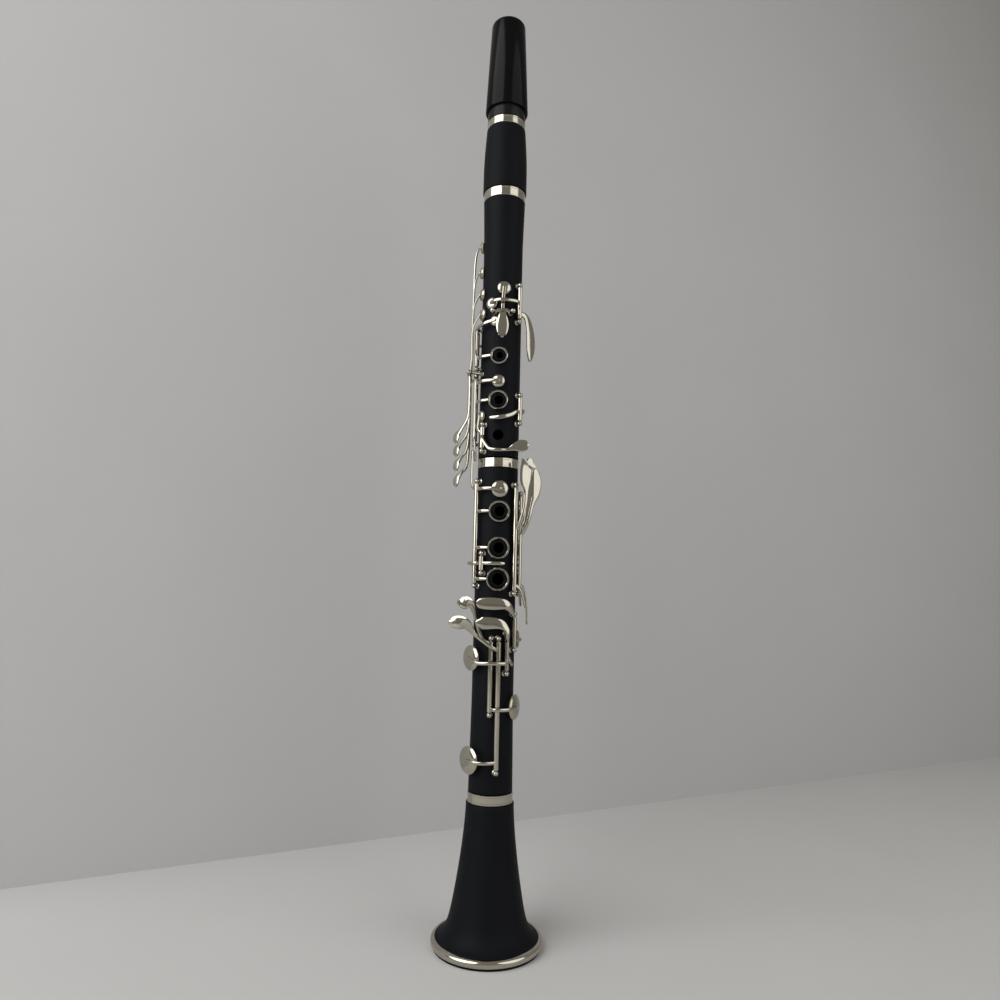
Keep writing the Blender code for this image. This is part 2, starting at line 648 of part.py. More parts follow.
def make_ligature():
    base = MOUTHPIECE_BASE + SHANK_LENGTH + (SHANK_RADIUS - MOUTHPIECE_RADIUS) + FIT_GAP
    top = base + LIGATURE_LENGTH
    inner = MOUTHPIECE_RADIUS + FIT_GAP
    outer = inner + LIGATURE_WALL
    inner_flat = TABLE_DEPTH + FIT_GAP + REED_THICKNESS + FIT_GAP
    outer_flat = inner_flat + LIGATURE_WALL
    reach = 2 * outer
    over = SOCKET_SPARE

    def d_shape(radius, flat, low, high):
        """A round bar with one flat side over the reed."""
        round_bar = cylinder(Vector((0, 0, low)), Vector((0, 0, high)), radius, BODY_STEPS)
        side = box((-reach, flat, low - over), (reach, flat + reach, high + over))
        return construction_object(fuse([round_bar], [side]))

    band = d_shape(outer, outer_flat, base, top)
    opening = d_shape(inner, inner_flat, base - over, top + over)
    lug_top = outer_flat + LIGATURE_LUG
    screw_line = outer_flat + LIGATURE_LUG / 2
    middle = (base + top) / 2
    levels = {"lower": middle - SCREW_SPACING / 2, "upper": middle + SCREW_SPACING / 2}
    lugs = []
    bores = []
    shaft_end = LUG_HALF_GAP + LUG_THICKNESS
    for z in levels.values():
        for side in (-1, 1):
            edges = sorted((side * LUG_HALF_GAP, side * shaft_end))
            lugs.append(box((edges[0], outer_flat - LIGATURE_WALL / 2, z - LUG_LENGTH / 2),
                            (edges[1], lug_top, z + LUG_LENGTH / 2)))
        bores.append(cylinder(Vector((-2 * shaft_end, screw_line, z)), Vector((2 * shaft_end, screw_line, z)),
                              (SCREW_RADIUS + FIT_GAP) / math.cos(math.pi / TUBE_SIDES)))
    finished("ligature", fuse([band] + lugs, [opening] + bores), NICKEL)
    for level, z in levels.items():
        head = shaft_end + FIT_GAP
        axis = Matrix.Translation((0, screw_line, z)) @ Matrix.Rotation(math.pi / 2, 4, "Y")
        head_end = head + SCREW_HEAD_LENGTH
        face = SCREW_HEAD_RADIUS - SCREW_CHAMFER
        section = [(0, head_end), (face, head_end), (SCREW_HEAD_RADIUS, head_end - SCREW_CHAMFER),
                   (SCREW_HEAD_RADIUS, head + SCREW_CHAMFER), (face, head),
                   (SCREW_RADIUS, head), (SCREW_RADIUS, -shaft_end - FIT_GAP), (0, -shaft_end - FIT_GAP)]
        screw = single("ligature_screw_" + level, turned(section, SMALL_STEPS), NICKEL)
        screw.matrix_world = axis


def make_cap():
    base = MOUTHPIECE_BASE + CAP_SEAT
    top = base + CAP_LENGTH
    lean = (CAP_FOOT_RADIUS - CAP_TOP_RADIUS) / CAP_LENGTH
    shoulder = top - CAP_ROUNDING
    outside = [(0, top)]
    for step in (1, 2, 3):
        turn = math.radians(30 * step)
        outside.append((CAP_TOP_RADIUS - CAP_ROUNDING * (1 - math.sin(turn)),
                        shoulder + CAP_ROUNDING * math.cos(turn)))
    outside.append((CAP_FOOT_RADIUS, base))
    guide = SHANK_RADIUS + FIT_GAP
    guide_top = MOUTHPIECE_BASE + SHANK_LENGTH
    hollow_top = shoulder - CAP_WALL
    inside = [(guide, base), (guide, guide_top),
              (CAP_FOOT_RADIUS - CAP_WALL - lean * (guide_top - base), guide_top + CAP_WALL),
              (CAP_TOP_RADIUS - CAP_WALL, hollow_top), (0, hollow_top + CAP_WALL)]
    single("mouthpiece_cap", turned(outside + inside, BODY_STEPS), GLOSS_BLACK)


def make_thumb_rest():
    surface = BODY_RADIUS + FIT_GAP
    low = LOWER_BASE + REST_HEIGHT
    high = low + REST_LENGTH
    half = REST_WIDTH / 2
    plate = box((-half, surface, low), (half, surface + REST_PLATE, high))
    shelf = box((-half, surface + REST_PLATE / 2, high - REST_SHELF_THICKNESS * 1.5),
                (half, surface + REST_SHELF, high - REST_SHELF_THICKNESS / 2))
    finished("thumb_rest", fuse([plate, shelf]), NICKEL)


# Hinges

def surface(z):
    """The radius of the joint's outside at a level."""
    share = 1 - (z - LOWER_BASE) / LOWER_FLARE_HEIGHT
    return BODY_RADIUS + (LOWER_FOOT_RADIUS - BODY_RADIUS) * max(share, 0)


def post(angle, z, height):
    """A post with a ball head whose centre is on the rod, standing on the body."""
    foot = surface(z) + FIT_GAP
    rise = BODY_RADIUS + height - foot
    section = [(0, rise + POST_BALL), (POST_BALL * 0.7, rise + POST_BALL * 0.7), (POST_BALL, rise),
               (POST_STEM, rise - POST_BALL * 0.8), (POST_FOOT, 0), (0, 0)]
    return turned(section, POST_STEPS, seat_frame(angle, foot, z))


def rod_hinge(name, base, rod, middle=()):
    """Two or more posts and the rod between them, along the body."""
    angle, height, low, high = rod
    posts = [post(angle, base + z, height) for z in (low, high, *middle)]
    line = cylinder(polar(angle, BODY_RADIUS + height, base + low),
                    polar(angle, BODY_RADIUS + height, base + high), ROD_RADIUS, ROD_SIDES)
    finished(name, fuse([line] + posts), STEEL)


def cross_hinge(name, z, back, front, ends):
    """Two posts and the rod between them, across the front or the back of the body."""
    distance = BODY_RADIUS + front
    points = [Vector((x, back * distance, z)) for x in ends]
    posts = []
    for point in points:
        angle = math.degrees(math.atan2(point.x, -point.y))
        posts.append(post(angle, z, point.to_2d().length - BODY_RADIUS))
    finished(name, fuse([cylinder(*points, ROD_RADIUS, ROD_SIDES)] + posts), STEEL)


def trill_line():
    return -BODY_RADIUS - TRILL_ROD[0]


def make_trill_hinge():
    z = UPPER_BASE + TRILL_ROD[1]
    spread = -trill_line() * math.tan(math.radians(TRILL_POST_SPREAD))
    reach = -trill_line() / math.cos(math.radians(TRILL_POST_SPREAD)) - BODY_RADIUS
    posts = [post(-90 + TRILL_POST_SPREAD, z, reach), post(-90 - TRILL_POST_SPREAD, z, reach)]
    ends = [Vector((trill_line(), y, z)) for y in (-spread, spread)]
    finished("trill_key_hinge", fuse([cylinder(*ends, ROD_RADIUS, ROD_SIDES)] + posts), STEEL)


# Keys

def key(name, start, end, pieces, axis, rest=0):
    """Fuse a key's tube and pieces, bore the tube, and hang the key on its rod, turned to rest."""
    way = (end - start).normalized()
    tube = cylinder(start, end, TUBE_RADIUS)
    bore = cylinder(start - way * END_PLAY, end + way * END_PLAY, TUBE_BORE)
    mesh = fuse([tube] + pieces, [bore])
    mesh.transform(Matrix.Translation(-start))
    part = finished(name, mesh, NICKEL)
    turn = Quaternion(Vector(axis), math.radians(rest))
    part.matrix_world = Matrix.Translation(start) @ turn.to_matrix().to_4x4()
    return part


def rod_key(name, base, rod, pieces, axis, rest=0, low=None, high=None):
    """A key on a rod along the body, its tube between two posts unless other ends are given."""
    angle, height, post_low, post_high = rod
    clear = POST_BALL + END_PLAY
    tube_low = post_low + clear if low is None else low
    tube_high = post_high - clear if high is None else high
    radius = BODY_RADIUS + height
    return key(name, polar(angle, radius, base + tube_low), polar(angle, radius, base + tube_high), pieces,
               axis, rest)


def cup(base, place, seat=0.0, height=CUP_HEIGHT):
    """A pad cup with its pad, lying closed on its seat."""
    angle, z, radius = place
    section = [(0, height), (radius * 0.62, height * 0.92), (radius, height * 0.45), (radius * 0.96, 0),
               (0, 0)]
    return turned(section, SMALL_STEPS, seat_frame(angle, BODY_RADIUS + seat + FIT_GAP, base + z))


def cup_top(base, place, seat=0.0, height=CUP_HEIGHT):
    """The middle of a closed cup's top."""
    angle, z, radius = place
    return polar(angle, BODY_RADIUS + seat + FIT_GAP + height, base + z)


def cup_arm(points, top):
    """An arm through points that ends on a cup, a little past the middle of its top."""
    run_out = top + (top - points[-1]).normalized() * ARM_OVERRUN
    return bar([(point, ARM_HALF) for point in points + [run_out]], ARM_THICK)


def body_points(base, stations):
    """Points at (angle, height above the surface, height above base)."""
    return [polar(angle, BODY_RADIUS + height, base + z) for angle, height, z in stations]


def finger_ring(base, place):
    """A finger ring round its chimney, in its closed place."""
    angle, z, outer = place
    inner = outer - RING_WIDTH
    section = [(outer - RING_CHAMFER, RING_HEIGHT), (outer, 0), (inner, 0), (inner, RING_HEIGHT)]
    return turned(section, RING_STEPS, seat_frame(angle, BODY_RADIUS + FIT_GAP, base + z), closed=True)


def ring_edge(place, side):
    """The station where an arm runs into a ring's edge; side is -1 or 1 round the body."""
    angle, z, outer = place
    across = side * (outer - RING_WIDTH / 2)
    rise = BODY_RADIUS + FIT_GAP + RING_HEIGHT / 2
    turn = math.degrees(math.atan2(across, rise))
    return (angle + turn, math.hypot(across, rise) - BODY_RADIUS, z, ARM_HALF * 0.8)


def ring_arm(base, rod, place, side):
    """An arm from a rod to a finger ring."""
    edge = ring_edge(place, side)
    z = place[1]
    middle = ((rod[0] + edge[0]) / 2, rod[1], z, ARM_HALF)
    if side > 0:
        middle = ((rod[0] + 360 + edge[0]) / 2, rod[1], z, ARM_HALF)
    return body_bar(base, [(rod[0], rod[1], z, ARM_HALF), middle, edge])


def make_upper_ring_keys():
    rod = UPPER_RING_ROD
    angle, height, low, high = rod
    clear = POST_BALL + END_PLAY
    vent_arm = body_points(UPPER_BASE, [(angle, height, FIRST_TUBE_TOP - 0.0035), (-70, 0.0044, 0.0805),
                                        (-69, 0.0044, 0.0945), (-60, 0.0044, 0.0975), (-35, 0.0038, 0.0992)])
    first = [finger_ring(UPPER_BASE, FIRST_RING), ring_arm(UPPER_BASE, rod, FIRST_RING, -1),
             cup(UPPER_BASE, VENT_PAD), cup_arm(vent_arm, cup_top(UPPER_BASE, VENT_PAD))]
    rod_key("first_finger_ring_key", UPPER_BASE, rod, first, (0, 0, 1), -RING_KEY_TRAVEL,
            UPPER_RING_MIDDLE_POST + clear, FIRST_TUBE_TOP)
    thumb = [finger_ring(UPPER_BASE, THUMB_RING), ring_arm(UPPER_BASE, rod, THUMB_RING, 1)]
    rod_key("thumb_ring_key", UPPER_BASE, rod, thumb, (0, 0, -1), -RING_KEY_TRAVEL,
            FIRST_TUBE_TOP + END_PLAY, high - clear)
    level = MIDDLE_PAD[1]
    middle_arm = body_points(UPPER_BASE, [(angle, height, level), (-48, 0.0042, level), (-24, 0.0036, level)])
    bridge = body_bar(UPPER_BASE, [(angle, height, low + 0.0055, ARM_HALF),
                                   (-71, 0.0039, low + 0.003, ARM_HALF),
                                   (-68, 0.0034, low - 0.0055, ARM_HALF), (-67, 0.0033, low - 0.013, 0.0016)])
    second = [finger_ring(UPPER_BASE, SECOND_RING), ring_arm(UPPER_BASE, rod, SECOND_RING, -1),
              cup(UPPER_BASE, MIDDLE_PAD), cup_arm(middle_arm, cup_top(UPPER_BASE, MIDDLE_PAD)), bridge]
    rod_key("second_finger_ring_key", UPPER_BASE, rod, second, (0, 0, 1), -RING_KEY_TRAVEL,
            low + clear, UPPER_RING_MIDDLE_POST - clear)
    rod_hinge("upper_ring_key_hinge", UPPER_BASE, rod, [UPPER_RING_MIDDLE_POST])


def make_throat_a_key():
    front, z, left, right = THROAT_A_ROD
    level = UPPER_BASE + z
    clear = CROSS_CLEARANCE
    middle = (left + right) / 2
    axis_y = -BODY_RADIUS - front
    arm = cup_arm([Vector((middle, axis_y, level)), Vector((middle, axis_y - 0.0009, level + 0.0065))],
                  cup_top(UPPER_BASE, THROAT_A_PAD))
    touch = free_bar(UPPER_BASE, [(middle, front, z, 0.0016), (middle, 0.0069, z - 0.0035, 0.0026),
                                  (middle, 0.0077, z - 0.0115, 0.0045), (middle, 0.0073, z - 0.0175, 0.0037),
                                  (middle, 0.0066, z - 0.0215, 0.0015)])
    key("throat_a_key", Vector((left + clear, axis_y, level)), Vector((right - clear, axis_y, level)),
        [arm, cup(UPPER_BASE, THROAT_A_PAD), touch], (1, 0, 0))
    cross_hinge("throat_a_key_hinge", level, -1, front, (left, right))


def make_throat_g_sharp_key():
    rod = THROAT_G_ROD
    angle, height, low, high = rod
    level = THROAT_G_PAD[1]
    arm = cup_arm(body_points(UPPER_BASE, [(angle, height, level), (30, 0.0073, level), (2, 0.0075, level),
                                           (-16, 0.0058, level)]), cup_top(UPPER_BASE, THROAT_G_PAD))
    touch = body_bar(UPPER_BASE, [(angle, height, low + 0.0065, 0.0016), (62, 0.006, low + 0.004, 0.0026),
                                  (73, 0.0076, low - 0.006, 0.004), (78, 0.0078, low - 0.018, 0.0042),
                                  (80, 0.0072, low - 0.0275, 0.0016)], TOUCH_THICK, THROAT_G_FACING)
    rod_key("throat_g_sharp_key", UPPER_BASE, rod, [arm, cup(UPPER_BASE, THROAT_G_PAD), touch], (0, 0, 1))
    rod_hinge("throat_g_sharp_key_hinge", UPPER_BASE, rod)


def make_register_key():
    front, z, left, right = REGISTER_ROD
    level = UPPER_BASE + z
    clear = CROSS_CLEARANCE
    axis_y = BODY_RADIUS + front
    seat = REGISTER_TUBE_RISE
    arm = cup_arm([Vector((0, axis_y, level)), Vector((0, axis_y + 0.0012, level + 0.015))],
                  cup_top(UPPER_BASE, REGISTER_PAD, seat))
    touch = bar([(Vector((0, axis_y, level)), 0.0016), (Vector((0, axis_y + 0.0026, level - 0.0055)), 0.0028),
                 (Vector((0, axis_y + 0.0029, level - 0.0155)), 0.0036),
                 (Vector((0, axis_y + 0.0015, level - 0.0235)), 0.0018)], TOUCH_THICK)
    key("register_key", Vector((left + clear, axis_y, level)), Vector((right - clear, axis_y, level)),
        [arm, cup(UPPER_BASE, REGISTER_PAD, seat), touch], (-1, 0, 0))
    cross_hinge("register_key_hinge", level, 1, front, (left, right))


def make_trill_keys():
    line = trill_line()
    level = UPPER_BASE + TRILL_ROD[1]
    first = -1.5 * TRILL_PITCH
    for index, (pad, touch_z) in enumerate(zip(TRILL_PADS, TRILL_TOUCHES)):
        y = first + index * TRILL_PITCH
        end_z = UPPER_BASE + touch_z
        lever = cup_arm([Vector((line, y, level)), Vector((line + 0.0012, y, level + 0.0125)),
                         Vector((line + 0.0015, y, UPPER_BASE + pad[1] - 0.0115))], cup_top(UPPER_BASE, pad))
        tail = bar([(Vector((line, y, level)), ARM_HALF),
                    (Vector((line + 0.0004, y, level - 0.0175)), ARM_HALF),
                    (Vector((line - 0.0002, y, end_z + 0.016)), ARM_HALF),
                    (Vector((line - 0.0047, y, end_z + 0.0065)), 0.0014),
                    (Vector((line - 0.0078, y, end_z + 0.002)), 0.0028),
                    (Vector((line - 0.0084, y, end_z - 0.002)), 0.0028),
                    (Vector((line - 0.0078, y, end_z - 0.0042)), 0.0016)], TOUCH_THICK, TRILL_FACING)
        key(f"trill_key_{index + 1}", Vector((line, y - TRILL_TUBE_HALF, level)),
            Vector((line, y + TRILL_TUBE_HALF, level)), [lever, tail, cup(UPPER_BASE, pad)], (0, -1, 0))
    make_trill_hinge()


def make_c_sharp_key():
    rod = C_SHARP_ROD
    angle, height, low, high = rod
    arm = cup_arm(body_points(UPPER_BASE, [(angle, height, high - 0.0065), (-54, 0.0044, high - 0.003)]),
                  cup_top(UPPER_BASE, C_SHARP_PAD))
    stem = body_points(UPPER_BASE, [(angle, height, low + 0.0125), (-36, 0.0052, low + 0.0085),
                                    (-28, 0.0056, low + 0.0045), (-18, 0.0056, low + 0.0008),
                                    (0, 0.0056, low), (19, 0.0053, low + 0.0005)])
    paddle = ((0.0112, 0.004, low + 0.0023, 0.0027), (0.0157, 0.0035, low + 0.0034, 0.0044),
              (0.0202, 0.003, low + 0.004, 0.0036), (0.0222, 0.0028, low + 0.0041, 0.0014))
    stations = [(point, ARM_HALF) for point in stem]
    stations += [(Vector((x, -BODY_RADIUS - front, UPPER_BASE + z)), width) for x, front, z, width in paddle]
    touch = bar(stations, TOUCH_THICK, C_SHARP_FACING)
    rod_key("c_sharp_g_sharp_key", UPPER_BASE, rod, [arm, cup(UPPER_BASE, C_SHARP_PAD), touch], (0, 0, 1))
    rod_hinge("c_sharp_g_sharp_key_hinge", UPPER_BASE, rod)


def make_e_flat_key():
    rod = E_FLAT_ROD
    angle, height, low, high = rod
    level = E_FLAT_PAD[1]
    bar_z = low + 0.0035
    touch = body_bar(UPPER_BASE, [(angle, height, bar_z + 0.0047, ARM_HALF),
                                  (40, 0.0048, bar_z + 0.0043, ARM_HALF),
                                  (25, 0.0048, bar_z + 0.0013, 0.0014), (3, 0.0046, bar_z - 0.0009, 0.0015),
                                  (-22, 0.0042, bar_z - 0.0013, 0.0012)])
    arm = cup_arm(body_points(UPPER_BASE, [(angle, height, level), (70, 0.0042, level)]),
                  cup_top(UPPER_BASE, E_FLAT_PAD))
    rod_key("e_flat_b_flat_key", UPPER_BASE, rod, [touch, arm, cup(UPPER_BASE, E_FLAT_PAD)], (0, 0, -1))
    rod_hinge("e_flat_b_flat_key_hinge", UPPER_BASE, rod)


def make_lower_ring_key():
    rod = LOWER_RING_ROD
    angle, height, low, high = rod
    level = LOWER_VENT_PAD[1]
    pieces = []
    for place in LOWER_RINGS:
        pieces += [finger_ring(LOWER_BASE, place), ring_arm(LOWER_BASE, rod, place, -1)]
    vent_arm = body_points(LOWER_BASE, [(angle, height, level), (-32, 0.0042, level), (-10, 0.0037, level)])
    bridge = body_bar(LOWER_BASE, [(angle, height, high - 0.0065, ARM_HALF),
                                   (-63, 0.006, high - 0.003, ARM_HALF),
                                   (-65, 0.0062, high + 0.008, ARM_HALF), (-65, 0.006, high + 0.023, 0.0016)])
    pieces += [cup(LOWER_BASE, LOWER_VENT_PAD), bridge]
    pieces.append(cup_arm(vent_arm, cup_top(LOWER_BASE, LOWER_VENT_PAD)))
    rod_key("lower_ring_key", LOWER_BASE, rod, pieces, (0, 0, 1), -LOWER_RING_TRAVEL)
    rod_hinge("lower_ring_key_hinge", LOWER_BASE, rod)


def make_b_sliver_key():
    rod = B_SLIVER_ROD
    angle, height, low, high = rod
    z = B_SLIVER_PAD[1]
    touch = body_bar(LOWER_BASE, [(angle, height, z, ARM_HALF), (-15, 0.0038, z, ARM_HALF),
                                  (8, 0.0038, z, ARM_HALF), (21, 0.0034, z, 0.001)])
    arm = cup_arm(body_points(LOWER_BASE, [(angle, height, z), (-46, 0.0062, z), (-66, 0.0064, z),
                                           (-79, 0.0047, z)]), cup_top(LOWER_BASE, B_SLIVER_PAD))
    rod_key("b_f_sharp_key", LOWER_BASE, rod, [touch, arm, cup(LOWER_BASE, B_SLIVER_PAD)], (0, 0, 1))
    rod_hinge("b_f_sharp_key_hinge", LOWER_BASE, rod)


def large_cup(place):
    return cup(LOWER_BASE, place, SEAT_HEIGHT, LARGE_CUP_HEIGHT)


def large_cup_top(place):
    return cup_top(LOWER_BASE, place, SEAT_HEIGHT, LARGE_CUP_HEIGHT)


def make_low_e_key():
    rod = LOW_E_ROD
    angle, height, low, high = rod
    level = LOW_E_PAD[1]
    points = body_points(LOWER_BASE, [(angle, height, level), (-14, 0.0062, level), (-38, 0.0062, level)])
    arm = cup_arm(points, large_cup_top(LOW_E_PAD))
    touch = free_bar(LOWER_BASE, [(0.0036, 0.0036, high - 0.0085, ARM_HALF),
                                  (-0.0005, 0.0069, high - 0.0065, ARM_HALF),
                                  (-0.006, 0.0061, high - 0.003, ARM_HALF),
                                  (-0.0132, 0.0036, high + 0.0026, 0.0014),
                                  (-0.0196, 0.003, high + 0.0096, 0.004),
                                  (-0.026, 0.0012, high + 0.0106, 0.0046),
                                  (-0.0312, -0.0018, high + 0.0106, 0.002)])
    rod_key("low_e_key", LOWER_BASE, rod, [arm, large_cup(LOW_E_PAD), touch], (0, 0, -1), -LOW_KEY_TRAVEL)
    rod_hinge("low_e_key_hinge", LOWER_BASE, rod)


def make_low_f_sharp_key():
    rod = LOW_F_SHARP_ROD
    angle, height, low, high = rod
    level = LOW_F_SHARP_PAD[1]
    arm = cup_arm(body_points(LOWER_BASE, [(angle, height, level), (5, 0.0077, level), (26, 0.0079, level),
                                           (50, 0.0063, level)]), large_cup_top(LOW_F_SHARP_PAD))
    touch = free_bar(LOWER_BASE, [(-0.0018, 0.0025, high - 0.004, ARM_HALF), (-0.008, 0.0006, high, ARM_HALF),
                                  (-0.0122, -0.0012, high + 0.01, ARM_HALF),
                                  (-0.0142, -0.0004, high + 0.0175, 0.0016),
                                  (-0.017, 0.0008, high + 0.0235, 0.0038),
                                  (-0.022, 0.0002, high + 0.024, 0.0042),
                                  (-0.0262, -0.0022, high + 0.024, 0.002)])
    rod_key("f_sharp_c_sharp_key", LOWER_BASE, rod, [arm, large_cup(LOW_F_SHARP_PAD), touch], (0, 0, -1))
    rod_hinge("f_sharp_c_sharp_key_hinge", LOWER_BASE, rod)


def make_low_f_key():
    rod = LOW_F_ROD
    angle, height, low, high = rod
    level = LOW_F_PAD[1]
    arm_z = level - 0.0025
    arm = cup_arm(body_points(LOWER_BASE, [(angle, height, arm_z), (19, 0.0079, arm_z), (-8, 0.0081, arm_z),
                                           (-38, 0.0066, arm_z)]), large_cup_top(LOW_F_PAD))
    tail_z = level + 0.004
    tail = body_bar(LOWER_BASE, [(angle, height, tail_z, ARM_HALF), (40, 0.004, tail_z - 0.006, ARM_HALF),
                                 (47, 0.0042, tail_z - 0.0085, 0.0015)])
    touch = free_bar(LOWER_BASE, [(0.0092, 0.0007, high - 0.0065, ARM_HALF),
                                  (0.009, 0.0046, high - 0.0035, ARM_HALF),
                                  (0.0085, 0.0052, high + 0.002, 0.0018),
                                  (0.003, 0.0058, high + 0.0062, 0.0034),
                                  (-0.008, 0.0047, high + 0.0066, 0.0042),
                                  (-0.0134, 0.0034, high + 0.0066, 0.003)])
    pieces = [arm, large_cup(LOW_F_PAD), tail, touch]
    rod_key("low_f_key", LOWER_BASE, rod, pieces, (0, 0, -1), -LOW_KEY_TRAVEL)
    rod_hinge("low_f_key_hinge", LOWER_BASE, rod)


def make_a_flat_key():
    rod = A_FLAT_ROD
    angle, height, low, high = rod
    level = A_FLAT_PAD[1]
    arm = cup_arm(body_points(LOWER_BASE, [(angle, height, level), (74, 0.005, level)]),
                  cup_top(LOWER_BASE, A_FLAT_PAD, SEAT_HEIGHT))
    touch = free_bar(LOWER_BASE, [(0.0141, -0.0037, high - 0.0042, ARM_HALF),
                                  (0.0125, 0.0028, high + 0.001, 0.0016),
                                  (0.008, 0.0071, high + 0.0063, 0.0032),
                                  (-0.001, 0.0081, high + 0.007, 0.0042),
                                  (-0.0128, 0.0076, high + 0.007, 0.0036)])
    rod_key("a_flat_e_flat_key", LOWER_BASE, rod, [arm, cup(LOWER_BASE, A_FLAT_PAD, SEAT_HEIGHT), touch],
            (0, 0, -1))
    rod_hinge("a_flat_e_flat_key_hinge", LOWER_BASE, rod)


def make_left_lever(name, rod, foot, leaf, facing):
    """A left-hand lever: a tube with a foot at its lower end and a leaf, placed down from the joint's top."""
    angle, height, low, high = rod
    top = LOWER_BASE + LOWER_LENGTH
    foot_bar = body_bar(LOWER_BASE, [(angle, height, low + 0.0065, ARM_HALF)] + foot)
    root = polar(angle, BODY_RADIUS + height, top - leaf[0][2] - 0.005)
    leaf_points = [(Vector((x, -BODY_RADIUS - front, top - drop)), width) for x, front, drop, width in leaf]
    leaf_bar = bar([(root, ARM_HALF)] + leaf_points, TOUCH_THICK, facing)
    rod_key(name, LOWER_BASE, rod, [foot_bar, leaf_bar], (0, 0, 1))
    rod_hinge(name + "_hinge", LOWER_BASE, rod)


def make_left_levers():
    make_left_lever("left_e_lever", LEFT_E_ROD,
                    [(59, 0.006, 0.1395, ARM_HALF), (65, 0.0082, 0.131, ARM_HALF),
                     (69, 0.0088, 0.1265, 0.0016)],
                    [(0.0165, 0.0006, 0.0475, 0.0013), (0.0196, 0.0014, 0.0362, 0.0014),
                     (0.0204, 0.0018, 0.0253, 0.0017), (0.0198, 0.002, 0.0181, 0.0038),
                     (0.0202, 0.002, 0.009, 0.0045), (0.0224, 0.0018, 0.0043, 0.0064),
                     (0.0227, 0.0014, 0.0009, 0.0052)], LEFT_LEAF_FACING)
    make_left_lever("left_f_lever", LEFT_F_ROD,
                    [(81, 0.0062, 0.1395, ARM_HALF), (84, 0.0082, 0.127, ARM_HALF),
                     (84, 0.0086, 0.1145, 0.0016)],
                    [(0.0203, -0.006, 0.0513, 0.0013), (0.0232, -0.0054, 0.0422, 0.0014),
                     (0.0252, -0.0052, 0.033, 0.0016), (0.0275, -0.0054, 0.0257, 0.0029),
                     (0.0281, -0.0058, 0.0165, 0.0035), (0.0272, -0.0062, 0.01, 0.0024),
                     (0.0266, -0.0064, 0.0065, 0.0012)], LEFT_LEAF_FACING)
    make_left_lever("left_f_sharp_lever", LEFT_F_SHARP_ROD,
                    [(121, 0.0062, 0.1395, ARM_HALF), (124, 0.008, 0.127, 0.0016)],
                    [(0.0205, -0.0238, 0.0445, 0.002), (0.0235, -0.0248, 0.0305, 0.0042),
                     (0.0242, -0.0252, 0.0165, 0.0046), (0.0238, -0.0244, 0.0075, 0.0018)],
                    LEFT_BACK_LEAF_FACING)


make_bell()
make_lower_joint()
make_upper_joint()
body_tube("thumb_tube", THUMB_RING, thumb_tube_radius(), thumb_tube_radius() - CHIMNEY_WALL, CHIMNEY_HEIGHT,
          EBONITE)
body_tube("register_tube", REGISTER_PAD, REGISTER_TUBE_RADIUS, REGISTER_TUBE_BORE, REGISTER_TUBE_RISE, NICKEL)
make_barrel()
make_mouthpiece()
make_reed()
make_ligature()
make_cap()
make_thumb_rest()
make_upper_ring_keys()
make_throat_a_key()
make_throat_g_sharp_key()
make_register_key()
make_trill_keys()
make_c_sharp_key()
make_e_flat_key()
make_lower_ring_key()
make_b_sliver_key()
make_low_e_key()
make_low_f_sharp_key()
make_low_f_key()
make_a_flat_key()
make_left_levers()
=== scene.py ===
"""A black clarinet with nickel keys, standing on its bell in soft light."""
import math

import bmesh
import bpy
from mathutils import Matrix, Quaternion, Vector


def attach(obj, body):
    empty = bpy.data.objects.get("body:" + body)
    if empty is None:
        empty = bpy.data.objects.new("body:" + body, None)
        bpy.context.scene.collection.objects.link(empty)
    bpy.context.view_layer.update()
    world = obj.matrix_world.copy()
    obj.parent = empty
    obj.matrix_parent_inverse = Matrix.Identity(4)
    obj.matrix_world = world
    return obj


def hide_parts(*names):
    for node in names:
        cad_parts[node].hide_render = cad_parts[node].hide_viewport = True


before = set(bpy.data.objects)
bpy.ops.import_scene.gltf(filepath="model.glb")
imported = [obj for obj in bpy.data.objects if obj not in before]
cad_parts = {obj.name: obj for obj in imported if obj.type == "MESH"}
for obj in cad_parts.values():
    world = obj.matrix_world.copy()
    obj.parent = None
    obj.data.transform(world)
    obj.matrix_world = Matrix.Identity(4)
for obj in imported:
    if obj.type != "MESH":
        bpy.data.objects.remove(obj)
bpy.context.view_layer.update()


# The bell: a flared moulding of black resin that the whole clarinet stands on.
# It is turned all over and brushed to a satin, so it shines softly and along its length.
# A nickel ring is rolled over its rim, and a second one clasps the socket at its neck.
BELL_LENGTH = 0.102
BELL_NECK_RADIUS = 0.0167
BELL_EDGE_RADIUS = 0.0352
BELL_FOOT_RADIUS = 0.0368
BELL_MOUTH_RADIUS = 0.033
BELL_THROAT_RADIUS = 0.011
BELL_FOOT_HEIGHT = 0.0009
RIM_RING_RADIUS = 0.0384
RIM_RING_HEIGHT = 0.0066
RING_THICKNESS = 0.0009
BELL_RING_LENGTH = 0.0072
BELL_RING_RADIUS = 0.016
SOCKET_RADIUS = 0.0118
SOCKET_DEPTH = 0.018
FIT_GAP = 0.0003
EDGE_ROUNDING = 0.0003


